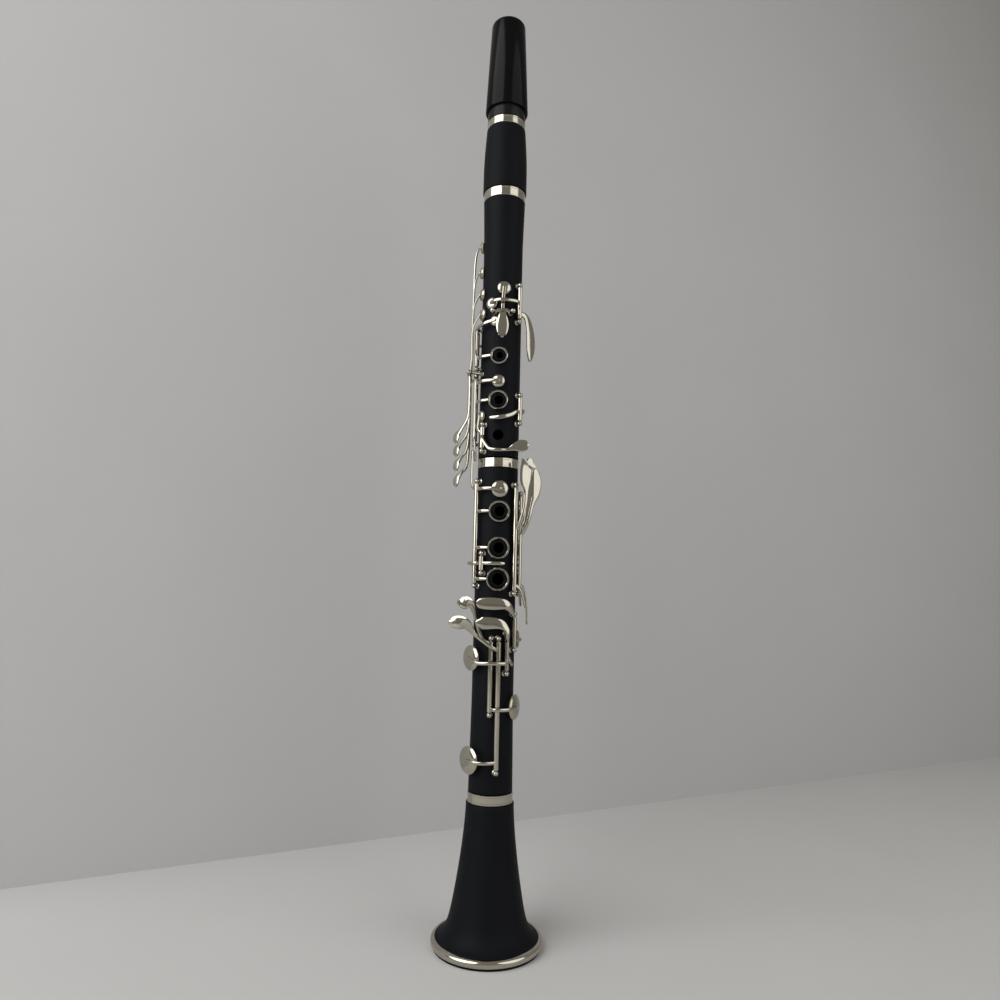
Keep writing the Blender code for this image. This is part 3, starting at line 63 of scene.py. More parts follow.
class Socket:
    """A shader socket that takes part in arithmetic; each step adds its node."""

    def __init__(self, tree, socket=None):
        self.tree = tree
        self.socket = socket

    def node(self, kind, settings=None, inputs=None, output=0):
        """Any node: its settings come first, then the values or links of its sockets."""
        made = self.tree.nodes.new(kind)
        for name, value in (settings or {}).items():
            setattr(made, name, value)
        for name, value in (inputs or {}).items():
            if isinstance(value, Socket):
                self.tree.links.new(value.socket, made.inputs[name])
            else:
                made.inputs[name].default_value = value
        return Socket(self.tree, made.outputs[output])

    def math(self, operation, first, second):
        return self.node("ShaderNodeMath", {"operation": operation}, {0: first, 1: second})

    def __add__(self, other):
        return self.math("ADD", self, other)

    def __mul__(self, other):
        return self.math("MULTIPLY", self, other)

    def __radd__(self, other):
        return self.math("ADD", other, self)

    def __rmul__(self, other):
        return self.math("MULTIPLY", other, self)

    def feed(self, shader, name):
        self.tree.links.new(self.socket, shader.inputs[name])


def blank(name):
    """A new material: its Principled shader, and the piece's own coordinates as the first socket."""
    material = bpy.data.materials.new(name)
    material.use_nodes = True
    shader = material.node_tree.nodes["Principled BSDF"]
    place = Socket(material.node_tree).node("ShaderNodeTexCoord", output="Object")
    return material, shader, place


def noise(place, stretch, detail):
    """Cloudy values from 0 to 1, with their count to the metre along each axis."""
    spread = place.node("ShaderNodeMapping", {}, {"Vector": place, "Scale": stretch})
    return place.node("ShaderNodeTexNoise", {}, {
        "Vector": spread, "Scale": 1.0, "Detail": detail, "Roughness": 0.55}, "Fac")


def mixed(share, first, second):
    """A colour between two colours."""
    return share.node(
        "ShaderNodeMix", {"data_type": "RGBA"}, {"Factor": share, 6: (*first, 1), 7: (*second, 1)}, 2)


def bump(height, strength, distance):
    return height.node("ShaderNodeBump", {}, {"Height": height, "Strength": strength, "Distance": distance},
                       "Normal")


def satin_black():
    """Black resin brushed along its length: fine lines, a faint cloudiness and a soft sheen."""
    material, shader, place = blank("satin_black")
    lines = noise(place, (2600, 2600, 70), 4)
    cloud = noise(place, (60, 60, 25), 2)
    mixed(cloud, (0.0036, 0.0042, 0.0056), (0.0064, 0.0070, 0.0088)).feed(shader, "Base Color")
    (0.42 + 0.16 * lines + 0.08 * cloud).feed(shader, "Roughness")
    bump(lines, 0.22, 0.00012).feed(shader, "Normal")
    shader.inputs["Specular IOR Level"].default_value = 0.07
    return material


def nickel():
    """Bright nickel plate: warm, nearly mirror, with finger smudges and fine polishing lines."""
    material, shader, place = blank("nickel")
    smudge = noise(place, (120, 120, 120), 3)
    wipe = noise(place, (500, 500, 2600), 2)
    mixed(smudge, (0.44, 0.415, 0.345), (0.53, 0.505, 0.43)).feed(shader, "Base Color")
    (0.05 + 0.13 * smudge * smudge + 0.05 * wipe).feed(shader, "Roughness")
    bump(wipe, 0.05, 0.00006).feed(shader, "Normal")
    shader.inputs["Metallic"].default_value = 1.0
    return material


def turned(name, profile, segments=96, place=None):
    """(radius, height) points turned about Z: the ends meet, or close as flat discs at radius 0."""
    rings = [point for point in profile if point[0] > 0]
    bpy.ops.object.select_all(action="DESELECT")
    bpy.ops.mesh.primitive_circle_add(vertices=segments, radius=rings[0][0])
    piece = bpy.context.object
    piece.name = name
    bpy.ops.object.mode_set(mode="EDIT")
    bpy.ops.mesh.select_mode(type="EDGE")
    bpy.ops.mesh.select_all(action="SELECT")
    bpy.ops.transform.translate(value=(0, 0, rings[0][1]))
    for (radius, height), (wider, higher) in zip(rings, rings[1:]):
        bpy.ops.mesh.extrude_region_move(TRANSFORM_OT_translate={"value": (0, 0, higher - height)})
        bpy.ops.transform.resize(value=(wider / radius, wider / radius, 1), center_override=(0, 0, 0))
    if len(rings) == len(profile):
        bpy.ops.mesh.select_non_manifold(extend=False)
        bpy.ops.mesh.bridge_edge_loops()
    else:
        bpy.ops.mesh.select_all(action="SELECT")
        bpy.ops.mesh.fill_holes(sides=0)
    bpy.ops.mesh.select_all(action="SELECT")
    bpy.ops.mesh.normals_make_consistent(inside=False)
    bpy.ops.object.mode_set(mode="OBJECT")
    if place is not None:
        piece.data.transform(place)
    return piece


def finished(piece, material, body, slot, *nodes, bevel=0.0):
    """Round a piece's edges, shade it, give it its finish and let it ride for the solids it dresses."""
    bpy.ops.object.select_all(action="DESELECT")
    piece.select_set(True)
    bpy.context.view_layer.objects.active = piece
    if bevel:
        edges = piece.modifiers.new("edges", "BEVEL")
        edges.width = bevel
        edges.segments = 2
        edges.limit_method = "ANGLE"
        edges.angle_limit = math.radians(40)
        bpy.ops.object.modifier_apply(modifier=edges.name)
    bpy.ops.object.shade_smooth_by_angle(angle=math.radians(38))
    piece.data.materials.clear()
    piece.data.materials.append(material)
    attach(piece, body)
    if nodes:
        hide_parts(*nodes)
    return piece


def socket_ring(name, base, length, radius, body, node):
    """A nickel ring round a socket: a flat band between two rolled beads."""
    low = base + FIT_GAP
    high = base + length - FIT_GAP
    inner = radius - RING_THICKNESS
    bead = 0.0011
    dip = 0.00022
    profile = [(inner, high), (radius - dip, high), (radius, high - dip), (radius, high - bead),
               (radius - dip, high - bead - dip), (radius - dip, low + bead + dip), (radius, low + bead),
               (radius, low + dip), (radius - dip, low), (inner, low)]
    return finished(turned(name, profile), nickel_plate, body, "nickel_plate", node)


black_resin = satin_black()
nickel_plate = nickel()
neck = BELL_LENGTH - BELL_RING_LENGTH - FIT_GAP
ring_land = BELL_RING_RADIUS - RING_THICKNESS - FIT_GAP
bell_top = BELL_LENGTH - FIT_GAP
profile = [(SOCKET_RADIUS, bell_top), (ring_land, bell_top), (ring_land, neck)]
for step in range(33):
    z = neck + (RIM_RING_HEIGHT - neck) * (1 - (1 - step / 32) ** 1.6)
    share = 1 - (z - RIM_RING_HEIGHT) / (neck - RIM_RING_HEIGHT)
    spread = BELL_EDGE_RADIUS - BELL_NECK_RADIUS
    profile.append((BELL_NECK_RADIUS + spread * (0.65 * share ** 1.55 + 0.35 * share ** 20), z))
profile += [(BELL_EDGE_RADIUS, BELL_FOOT_HEIGHT), (BELL_FOOT_RADIUS, BELL_FOOT_HEIGHT), (BELL_FOOT_RADIUS, 0)]
throat = BELL_LENGTH - SOCKET_DEPTH
for step in range(25):
    z = throat * (step / 24) ** 1.5
    share = 1 - z / throat
    spread = BELL_MOUTH_RADIUS - BELL_THROAT_RADIUS
    profile.append((BELL_THROAT_RADIUS + spread * (0.6 * share ** 1.6 + 0.4 * share ** 10), z))
profile.append((SOCKET_RADIUS, throat))
finished(
    turned("bell_flare", profile, 128), black_resin, "instrument_body", "black_body", "bell",
    bevel=EDGE_ROUNDING)
socket_ring("bell_neck_band", neck, BELL_RING_LENGTH, BELL_RING_RADIUS, "instrument_body", "bell_socket_ring")
rim_inner = BELL_EDGE_RADIUS + FIT_GAP
rim_low = BELL_FOOT_HEIGHT + FIT_GAP
rim_middle = (rim_low + RIM_RING_HEIGHT) / 2
profile = [(rim_inner, RIM_RING_HEIGHT)]
for step in range(13):
    turn = math.radians(90 - 15 * step)
    profile.append((rim_inner + (RIM_RING_RADIUS - rim_inner) * max(math.cos(turn), 0) ** 0.7,
                    rim_middle + (RIM_RING_HEIGHT - rim_low) / 2 * math.sin(turn)))
profile = profile[:1] + profile[2:-1] + [(rim_inner, rim_low)]
finished(
    turned("bell_rim_band", profile, 128), nickel_plate, "instrument_body", "nickel_plate", "bell_rim_ring")


# The lower joint: a straight black tube with three finger holes that stand up as chimneys, and flat seats
# for the large pads. It is bored and turned from the same resin; a nickel ring keeps its socket from
# splitting, and a cork sleeve on its tenon makes the joint with the bell airtight.
LOWER_BASE = BELL_LENGTH
LOWER_LENGTH = 0.2335
BODY_RADIUS = 0.01475
LOWER_FOOT_RADIUS = 0.0155
LOWER_FLARE_HEIGHT = 0.058
BORE_RADIUS = 0.0073
BORE_FOOT_RADIUS = 0.0092
BORE_FLARE_HEIGHT = 0.07
TENON_LENGTH = 0.017
TENON_COLLAR = 0.0025
COLLAR_RADIUS = 0.0114
CORE_RADIUS = 0.0105
LOWER_RING_LENGTH = 0.0072
LOWER_RING_RADIUS = 0.0152
CHIMNEY_HEIGHT = 0.0018
CHIMNEY_WALL = 0.0013
CHIMNEY_ROOT = 0.004
RING_WIDTH = 0.0014
CHIMNEY_PLAY = 0.0012
PAD_LAND = 0.0019
SEAT_HEIGHT = 0.0008
UPPER_BASE = LOWER_BASE + LOWER_LENGTH
LOWER_RINGS = ((7.5, 0.194, 0.0076), (7.5, 0.168, 0.0078), (7.5, 0.146, 0.0081))
LOWER_VENT_PAD = (7.5, 0.21, 0.006)
B_SLIVER_PAD = (-88, 0.157, 0.0045)
LOW_E_PAD = (-58, 0.022, 0.00935)
LOW_F_PAD = (-62, 0.091, 0.00885)
LOW_F_SHARP_PAD = (68, 0.0574, 0.00885)
A_FLAT_PAD = (95, 0.104, 0.0065)


def polar(angle, radius, z):
    """A point at an angle round the axis, 0 degrees at the front."""
    turn = math.radians(angle)
    return Vector((radius * math.sin(turn), -radius * math.cos(turn), z))


def seat_frame(angle, radius, z):
    """A frame on the body: its X runs round the body, its Y up and its Z outwards."""
    turn = math.radians(angle)
    rotation = Matrix(((math.cos(turn), math.sin(turn), 0), (0, 0, 1), (math.sin(turn), -math.cos(turn), 0)))
    return Matrix.Translation(polar(angle, radius, z)) @ rotation.transposed().to_4x4()


def joined(name, pieces):
    """One object from several."""
    bpy.ops.object.select_all(action="DESELECT")
    for piece in pieces:
        piece.select_set(True)
    bpy.context.view_layer.objects.active = pieces[0]
    bpy.ops.object.join()
    pieces[0].name = name
    return pieces[0]


def cut(piece, cutters):
    """Cut holes with closed cutters that don't touch each other."""
    tool = joined("tool", cutters)
    bpy.ops.object.select_all(action="DESELECT")
    piece.select_set(True)
    bpy.context.view_layer.objects.active = piece
    holes = piece.modifiers.new("holes", "BOOLEAN")
    holes.operation = "DIFFERENCE"
    holes.object = tool
    bpy.ops.object.modifier_apply(modifier=holes.name)
    bpy.data.objects.remove(tool)
    return piece


def tenon(shoulder, reach):
    """The steps of a tenon from its shoulder to its tip; reach is signed along Z."""
    way = math.copysign(1, reach)
    tip = shoulder + reach
    return [(COLLAR_RADIUS, shoulder), (COLLAR_RADIUS, shoulder + way * TENON_COLLAR),
            (CORE_RADIUS, shoulder + way * TENON_COLLAR), (CORE_RADIUS, tip - way * TENON_COLLAR),
            (COLLAR_RADIUS, tip - way * TENON_COLLAR), (COLLAR_RADIUS, tip)]


def drill(base, place, radius):
    """A cutter for a tone hole, with a slight countersink at the surface."""
    angle, z = place[:2]
    over = 0.0015
    sink = 0.002
    depth = BODY_RADIUS - BORE_RADIUS + over
    profile = [(0, 0), (radius, 0), (radius, depth - sink), (radius * 1.08, depth + over), (0, depth + over)]
    return turned("drill", profile, 32, seat_frame(angle, BORE_RADIUS - over, base + z))


def chimney_radii(place):
    """The outer and inner radius of the chimney inside a finger ring."""
    outer = place[2] - RING_WIDTH - CHIMNEY_PLAY
    return outer, outer - CHIMNEY_WALL


def chimney(base, place):
    """The raised, rounded rim of a finger hole."""
    angle, z = place[:2]
    outer, inner = chimney_radii(place)
    root = BODY_RADIUS - CHIMNEY_ROOT
    top = BODY_RADIUS + CHIMNEY_HEIGHT - root
    soft = 0.0004
    profile = [
        (inner, 0), (inner, top - soft), (inner + soft, top), (outer - soft, top), (outer, top - soft),
        (outer, 0)]
    return turned("chimney", profile, 40, seat_frame(angle, root, base + z))


def pad_seat(base, place):
    """The flat raised seat of a large pad, with its thin sealing rim."""
    angle, z, size = place
    outer = size - PAD_LAND / 2
    inner = size - PAD_LAND
    root = BODY_RADIUS - CHIMNEY_ROOT
    top = BODY_RADIUS + SEAT_HEIGHT - root
    soft = EDGE_ROUNDING
    drop = 0.0004
    profile = [
        (inner, 0), (inner, top - soft), (inner + soft, top), (outer - soft, top), (outer, top - drop),
        (outer, 0)]
    return turned("seat", profile, 48, seat_frame(angle, root, base + z))


shoulder = LOWER_BASE + FIT_GAP
ring_foot = UPPER_BASE - LOWER_RING_LENGTH - FIT_GAP
ring_land = LOWER_RING_RADIUS - RING_THICKNESS - FIT_GAP
profile = [(SOCKET_RADIUS, UPPER_BASE - FIT_GAP), (ring_land, UPPER_BASE - FIT_GAP), (ring_land, ring_foot),
           (BODY_RADIUS - EDGE_ROUNDING, ring_foot), (BODY_RADIUS, ring_foot - EDGE_ROUNDING),
           (BODY_RADIUS, LOWER_BASE + LOWER_FLARE_HEIGHT), (LOWER_FOOT_RADIUS, shoulder)]
profile += tenon(shoulder, -TENON_LENGTH)
profile += [(BORE_FOOT_RADIUS, shoulder - TENON_LENGTH), (BORE_RADIUS, LOWER_BASE + BORE_FLARE_HEIGHT),
            (BORE_RADIUS, UPPER_BASE - SOCKET_DEPTH), (SOCKET_RADIUS, UPPER_BASE - SOCKET_DEPTH)]
tube = turned("tube", profile)
seats = (LOW_E_PAD, LOW_F_PAD, LOW_F_SHARP_PAD, A_FLAT_PAD)
chimney_bores = [drill(LOWER_BASE, place, chimney_radii(place)[1]) for place in LOWER_RINGS]
pads = seats + (LOWER_VENT_PAD, B_SLIVER_PAD)
pad_bores = [drill(LOWER_BASE, place, place[2] - PAD_LAND) for place in pads]
tube = cut(tube, chimney_bores + pad_bores)
raised = [chimney(LOWER_BASE, place) for place in LOWER_RINGS]
raised += [pad_seat(LOWER_BASE, place) for place in seats]
finished(
    joined("lower_joint_tube", [tube] + raised), black_resin, "instrument_body", "black_body",
    "lower_joint")
socket_ring(
    "lower_joint_band", ring_foot, LOWER_RING_LENGTH, LOWER_RING_RADIUS, "instrument_body",
    "lower_joint_socket_ring")


# The cork sleeves of the tenons: thin sheet cork, glued on, sanded round and greased.
# They sit between the two collars of each tenon, out of sight while the clarinet is put together.
def dress(node, material):
    """The finish of a solid that shows as it is."""
    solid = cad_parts[node]
    solid.data.materials.clear()
    solid.data.materials.append(material)


def sheet_cork():
    """Sheet cork: tan grain with dark pores."""
    material, shader, place = blank("sheet_cork")
    grain = noise(place, (700, 700, 700), 4)
    pores = place.node("ShaderNodeTexVoronoi", {}, {"Vector": place, "Scale": 900.0}, "Distance")
    pits = place.node("ShaderNodeMapRange", {}, {"Value": pores, "From Min": 0.12, "From Max": 0.3})
    mixed(grain * pits, (0.19, 0.105, 0.045), (0.55, 0.36, 0.19)).feed(shader, "Base Color")
    (0.72 + 0.2 * grain).feed(shader, "Roughness")
    bump(pits, 0.5, 0.0002).feed(shader, "Normal")
    return material


cork = sheet_cork()
for node in ("lower_joint_cork", "upper_joint_top_cork", "upper_joint_bottom_cork", "mouthpiece_tenon_cork"):
    dress(node, cork)


# The upper joint: the same black tube, widened a little under the barrel, with two chimneys, one plain
# finger hole and the small pad holes. A resin thumb tube and a metal register tube are pressed into its back.
UPPER_LENGTH = 0.1988
UPPER_TOP_RADIUS = 0.0157
UPPER_FLARE_LENGTH = 0.035
BARREL_BASE = UPPER_BASE + UPPER_LENGTH
FIRST_RING = (-2, 0.0745, 0.0064)
SECOND_RING = (-2, 0.0413, 0.0072)
THIRD_HOLE = (-2, 0.016, 0.0038)
THUMB_RING = (180, 0.0895, 0.0066)
VENT_PAD = (-14, 0.1005, 0.004)
MIDDLE_PAD = (-2, 0.0553, 0.0047)
THROAT_A_PAD = (5, 0.1261, 0.005)
THROAT_G_PAD = (-28, 0.1145, 0.0045)
REGISTER_PAD = (180, 0.1645, 0.004)
C_SHARP_PAD = (-58, 0.0305, 0.0042)
E_FLAT_PAD = (82, 0.0355, 0.0045)
TRILL_PADS = ((-66, 0.1085, 0.0045), (-72, 0.1245, 0.0045), (-82, 0.1425, 0.0045), (-98, 0.1645, 0.0045))
REGISTER_TUBE_RADIUS = 0.0026
REGISTER_TUBE_BORE = 0.0014
REGISTER_TUBE_RISE = 0.001
TUBE_INNER_END = 0.0082

shoulder = UPPER_BASE + FIT_GAP
profile = [(BORE_RADIUS, BARREL_BASE + TENON_LENGTH)] + tenon(BARREL_BASE, TENON_LENGTH)[::-1]
profile += [
    (UPPER_TOP_RADIUS - EDGE_ROUNDING, BARREL_BASE), (UPPER_TOP_RADIUS, BARREL_BASE - EDGE_ROUNDING),
    (BODY_RADIUS, BARREL_BASE - UPPER_FLARE_LENGTH), (BODY_RADIUS, shoulder + EDGE_ROUNDING),
    (BODY_RADIUS - EDGE_ROUNDING, shoulder)]
profile += tenon(shoulder, -TENON_LENGTH)
profile.append((BORE_RADIUS, shoulder - TENON_LENGTH))
tube = turned("tube", profile)
thumb_radius, thumb_bore = chimney_radii(THUMB_RING)
bores = [drill(UPPER_BASE, place, chimney_radii(place)[1]) for place in (FIRST_RING, SECOND_RING)]
bores.append(drill(UPPER_BASE, THIRD_HOLE, THIRD_HOLE[2]))
pads = (VENT_PAD, MIDDLE_PAD, THROAT_A_PAD, THROAT_G_PAD, C_SHARP_PAD, E_FLAT_PAD) + TRILL_PADS
bores += [drill(UPPER_BASE, place, place[2] - PAD_LAND) for place in pads]
bores.append(drill(UPPER_BASE, THUMB_RING, thumb_radius + FIT_GAP))
bores.append(drill(UPPER_BASE, REGISTER_PAD, REGISTER_TUBE_RADIUS + FIT_GAP))
tube = cut(tube, bores)
raised = [chimney(UPPER_BASE, place) for place in (FIRST_RING, SECOND_RING)]
finished(
    joined("upper_joint_tube", [tube] + raised), black_resin, "instrument_body", "black_body",
    "upper_joint")
for name, place, radius, bore, rise, material, slot in (
        ("thumb_tube", THUMB_RING, thumb_radius, thumb_bore, CHIMNEY_HEIGHT, black_resin, "black_body"),
        ("register_tube", REGISTER_PAD, REGISTER_TUBE_RADIUS, REGISTER_TUBE_BORE, REGISTER_TUBE_RISE,
         nickel_plate, "nickel_plate")):
    length = BODY_RADIUS + rise - TUBE_INNER_END
    lip = EDGE_ROUNDING
    profile = [
        (bore, 0), (bore, length - lip), (bore + lip, length), (radius - lip, length),
        (radius, length - lip), (radius, 0)]
    liner = turned(name + "_liner", profile, 40, seat_frame(place[0], TUBE_INNER_END, UPPER_BASE + place[1]))
    finished(liner, material, "instrument_body", slot, name)


# The barrel: a short black tube that swells to a belly, pushed over the upper joint's tenon and pulled out
# a little to tune. Two nickel rings clasp its sockets.
BARREL_LENGTH = 0.0659
BARREL_WAIST_RADIUS = 0.0149
BARREL_BELLY_RADIUS = 0.0166
BARREL_BELLY_HEIGHT = 0.022
BARREL_EDGE = 0.0004
BARREL_FOOT_RING_LENGTH = 0.0077
BARREL_FOOT_RING_RADIUS = 0.0159
BARREL_TOP_RING_LENGTH = 0.0064
BARREL_TOP_RING_RADIUS = 0.0147
MOUTHPIECE_BASE = BARREL_BASE + BARREL_LENGTH

base = BARREL_BASE + FIT_GAP
foot_ring = BARREL_BASE + BARREL_FOOT_RING_LENGTH
top_ring = MOUTHPIECE_BASE - BARREL_TOP_RING_LENGTH
foot_land = BARREL_FOOT_RING_RADIUS - RING_THICKNESS - FIT_GAP
top_land = BARREL_TOP_RING_RADIUS - RING_THICKNESS - FIT_GAP
belly = BARREL_BASE + BARREL_BELLY_HEIGHT
profile = [
    (SOCKET_RADIUS, MOUTHPIECE_BASE), (top_land, MOUTHPIECE_BASE), (top_land, top_ring),
    (BARREL_WAIST_RADIUS - EDGE_ROUNDING, top_ring)]
for step in range(13):
    share = step / 12
    profile.append((
        BARREL_WAIST_RADIUS + (BARREL_BELLY_RADIUS - BARREL_WAIST_RADIUS) * math.sin(share * math.pi / 2),
        top_ring - EDGE_ROUNDING + (belly - top_ring + EDGE_ROUNDING) * share))
profile += [
    (BARREL_BELLY_RADIUS, foot_ring + BARREL_EDGE), (BARREL_BELLY_RADIUS - BARREL_EDGE, foot_ring),
    (foot_land, foot_ring), (foot_land, base), (SOCKET_RADIUS, base),
    (SOCKET_RADIUS, BARREL_BASE + SOCKET_DEPTH), (BORE_RADIUS, BARREL_BASE + SOCKET_DEPTH),
    (BORE_RADIUS, MOUTHPIECE_BASE - SOCKET_DEPTH), (SOCKET_RADIUS, MOUTHPIECE_BASE - SOCKET_DEPTH)]
finished(turned("barrel_tube", profile), black_resin, "head", "black_body", "barrel")
socket_ring(
    "barrel_foot_band", BARREL_BASE, BARREL_FOOT_RING_LENGTH, BARREL_FOOT_RING_RADIUS, "head",
    "barrel_bottom_ring")
socket_ring(
    "barrel_top_band", top_ring, BARREL_TOP_RING_LENGTH, BARREL_TOP_RING_RADIUS, "head", "barrel_top_ring")


# The mouthpiece: turned from hard black rubber, with a flat table for the reed, a slanted beak opposite it
# and a window cut through to the bore. Only its shank shows between the barrel and the cap.
SHANK_LENGTH = 0.0118
SHANK_RADIUS = 0.0144
MOUTHPIECE_LENGTH = 0.0728
MOUTHPIECE_RADIUS = 0.0119
MOUTHPIECE_TIP_RADIUS = 0.0088
BEAK_LENGTH = 0.032
TABLE_DEPTH = 0.0065
TIP_THICKNESS = 0.0018
CHAMBER_HALF_WIDTH = 0.0045
CHAMBER_LENGTH = 0.034
CHAMBER_TIP = 0.0105
THROAT_RADIUS = 0.0052
THROAT_FOOT_RADIUS = 0.0077


def slab(name, low, high, place=None):
    """A square-cornered block between two corners."""
    low = Vector(low)
    high = Vector(high)
    bpy.ops.object.select_all(action="DESELECT")
    bpy.ops.mesh.primitive_cube_add(size=1)
    block = bpy.context.object
    block.name = name
    bpy.ops.object.mode_set(mode="EDIT")
    bpy.ops.mesh.select_all(action="SELECT")
    bpy.ops.transform.resize(value=high - low, center_override=(0, 0, 0))
    bpy.ops.transform.translate(value=(low + high) / 2)
    bpy.ops.object.mode_set(mode="OBJECT")
    if place is not None:
        block.data.transform(place)
    return block


def hard_rubber():
    """Hard black rubber: a close polish, dulled a little where it is handled."""
    material, shader, place = blank("hard_rubber")
    cloud = noise(place, (90, 90, 60), 3)
    mixed(cloud, (0.0065, 0.0065, 0.0072), (0.011, 0.0108, 0.0112)).feed(shader, "Base Color")
    (0.22 + 0.14 * cloud).feed(shader, "Roughness")
    bump(noise(place, (1500, 1500, 1500), 2), 0.06, 0.0001).feed(shader, "Normal")
    shader.inputs["Specular IOR Level"].default_value = 0.12
    return material


base = MOUTHPIECE_BASE + FIT_GAP
shank = MOUTHPIECE_BASE + SHANK_LENGTH
tip = MOUTHPIECE_BASE + MOUTHPIECE_LENGTH
reach = 2 * SHANK_RADIUS
lift = TABLE_DEPTH - TIP_THICKNESS
chamber = tip - CHAMBER_LENGTH
profile = [
    (0, tip), (MOUTHPIECE_TIP_RADIUS, tip), (MOUTHPIECE_RADIUS, tip - BEAK_LENGTH),
    (MOUTHPIECE_RADIUS, shank + SHANK_RADIUS - MOUTHPIECE_RADIUS), (SHANK_RADIUS, shank),
    (SHANK_RADIUS, base)]
profile += tenon(base, -TENON_LENGTH) + [(0, base - TENON_LENGTH)]
beak = turned("mouthpiece_beak", profile, 64)
slope = Vector((0, -MOUTHPIECE_RADIUS - lift, -BEAK_LENGTH)).normalized()
slant = Matrix((Vector((-1, 0, 0)), slope, Vector((-1, 0, 0)).cross(slope))).transposed().to_4x4()
slant = Matrix.Translation((0, lift, tip)) @ slant
low = base - TENON_LENGTH - 0.001
cut(beak, [slab("table", (-reach, TABLE_DEPTH, shank + FIT_GAP), (reach, TABLE_DEPTH + reach, tip + reach))])
cut(beak, [slab("slope", (-reach, -reach, 0), (reach, 2 * reach, reach), slant)])
cut(beak, [turned("bore", [(0, low), (THROAT_FOOT_RADIUS, low), (THROAT_RADIUS, chamber), (0, chamber)], 48)])
cut(beak, [slab("window", (-CHAMBER_HALF_WIDTH, 0, chamber - BORE_RADIUS),
                (CHAMBER_HALF_WIDTH, TABLE_DEPTH + reach, tip - CHAMBER_TIP))])
finished(beak, hard_rubber(), "head", "black_body", "mouthpiece", bevel=0.00025)


# The reed: a flat blade of cane, scraped thin towards its tip, lying on the mouthpiece's table.
# The cut stem shows long pale fibres, and darker ones where the bark was.
def cane_blade():
    """Cane: straw with long darker fibres."""
    material, shader, place = blank("cane_blade")
    fibre = noise(place, (2400, 2400, 45), 4)
    patch = noise(place, (150, 150, 40), 2)
    mixed(fibre * 0.7 + patch * 0.3, (0.43, 0.27, 0.10), (0.80, 0.63, 0.34)).feed(shader, "Base Color")
    (0.55 + 0.2 * fibre).feed(shader, "Roughness")
    bump(fibre, 0.3, 0.0001).feed(shader, "Normal")
    return material


dress("reed", cane_blade())


# The ligature: a nickel band that clasps the reed to the mouthpiece, drawn tight by two small thumb screws.
# All three are plated like the rings, and out of sight under the cap.
for node in ("ligature", "ligature_screw_lower", "ligature_screw_upper"):
    dress(node, nickel_plate)


# The cap: a tapered cup of glossy black plastic with a rounded crown, pushed on over the mouthpiece to guard
# the reed. It is moulded in one piece and polished, so it shows a clear highlight down its side.
CAP_LENGTH = 0.0756
CAP_SEAT = 0.0088
CAP_FOOT_RADIUS = 0.0164
CAP_TOP_RADIUS = 0.0133
CAP_WALL = 0.0009
CAP_ROUNDING = 0.004
CAP_LIP = 0.0005


def glossy_black():
    """Polished black plastic with a few hairline scuffs."""
    material, shader, place = blank("glossy_black")
    scuff = noise(place, (800, 800, 90), 3)
    smear = noise(place, (45, 45, 45), 3)
    mixed(smear, (0.0032, 0.0033, 0.0037), (0.005, 0.005, 0.0055)).feed(shader, "Base Color")
    (0.10 + 0.08 * smear + 0.05 * scuff).feed(shader, "Roughness")
    bump(scuff, 0.03, 0.0001).feed(shader, "Normal")
    shader.inputs["Specular IOR Level"].default_value = 0.08
    return material


base = MOUTHPIECE_BASE + CAP_SEAT
top = base + CAP_LENGTH
shoulder = top - CAP_ROUNDING
lean = (CAP_FOOT_RADIUS - CAP_TOP_RADIUS) / CAP_LENGTH
guide = SHANK_RADIUS + FIT_GAP
guide_top = MOUTHPIECE_BASE + SHANK_LENGTH
profile = [(0, top)]
for step in range(13):
    turn = math.radians(7.5 * step)
    profile.append((
        CAP_TOP_RADIUS - CAP_ROUNDING * (1 - math.sin(turn)), shoulder + CAP_ROUNDING * math.cos(turn)))
profile += [
    (CAP_FOOT_RADIUS, base + CAP_LIP), (CAP_FOOT_RADIUS - EDGE_ROUNDING, base), (guide, base),
    (guide, guide_top), (CAP_FOOT_RADIUS - CAP_WALL - lean * (guide_top - base), guide_top + CAP_WALL),
    (CAP_TOP_RADIUS - CAP_WALL, shoulder - CAP_WALL), (0, shoulder - CAP_WALL)]
finished(turned("cap_shell", profile), glossy_black(), "cap", "gloss_black", "mouthpiece_cap")


# The thumb rest: a nickel plate screwed to the back of the lower joint, with a shelf that the right thumb
# carries the weight on. It is cast in one piece, its edges rounded, and held by two small slotted screws.
REST_HEIGHT = 0.196
REST_LENGTH = 0.028
REST_WIDTH = 0.013
REST_PLATE = 0.0016
REST_SHELF = 0.015
REST_SHELF_THICKNESS = 0.0026
REST_SCREWS = (0.005, 0.0145)

surface_back = BODY_RADIUS + FIT_GAP
low = LOWER_BASE + REST_HEIGHT
high = low + REST_LENGTH
half = REST_WIDTH / 2
plate = slab("plate", (-half, surface_back, low), (half, surface_back + REST_PLATE, high))
shelf = slab("shelf", (-half, surface_back + REST_PLATE / 2, high - REST_SHELF_THICKNESS * 1.5),
             (half, surface_back + REST_SHELF, high - REST_SHELF_THICKNESS / 2))
finished(joined("thumb_rest_hook", [plate, shelf]), nickel_plate, "instrument_body", "nickel_plate",
                "thumb_rest", bevel=0.0006)
for number, rise in enumerate(REST_SCREWS):
    place = seat_frame(180, surface_back + REST_PLATE, low + rise)
    profile = [(0, 0.0009), (0.0013, 0.0008), (0.0019, 0.0004), (0.0019, -0.0006), (0, -0.0006)]
    head = turned("rest_screw_" + str(number + 1), profile, 28, place)
    slot_cut = slab("slot", (-0.003, -0.00022, 0.0005), (0.003, 0.00022, 0.002), place)
    finished(cut(head, [slot_cut]), nickel_plate, "instrument_body", "nickel_plate")


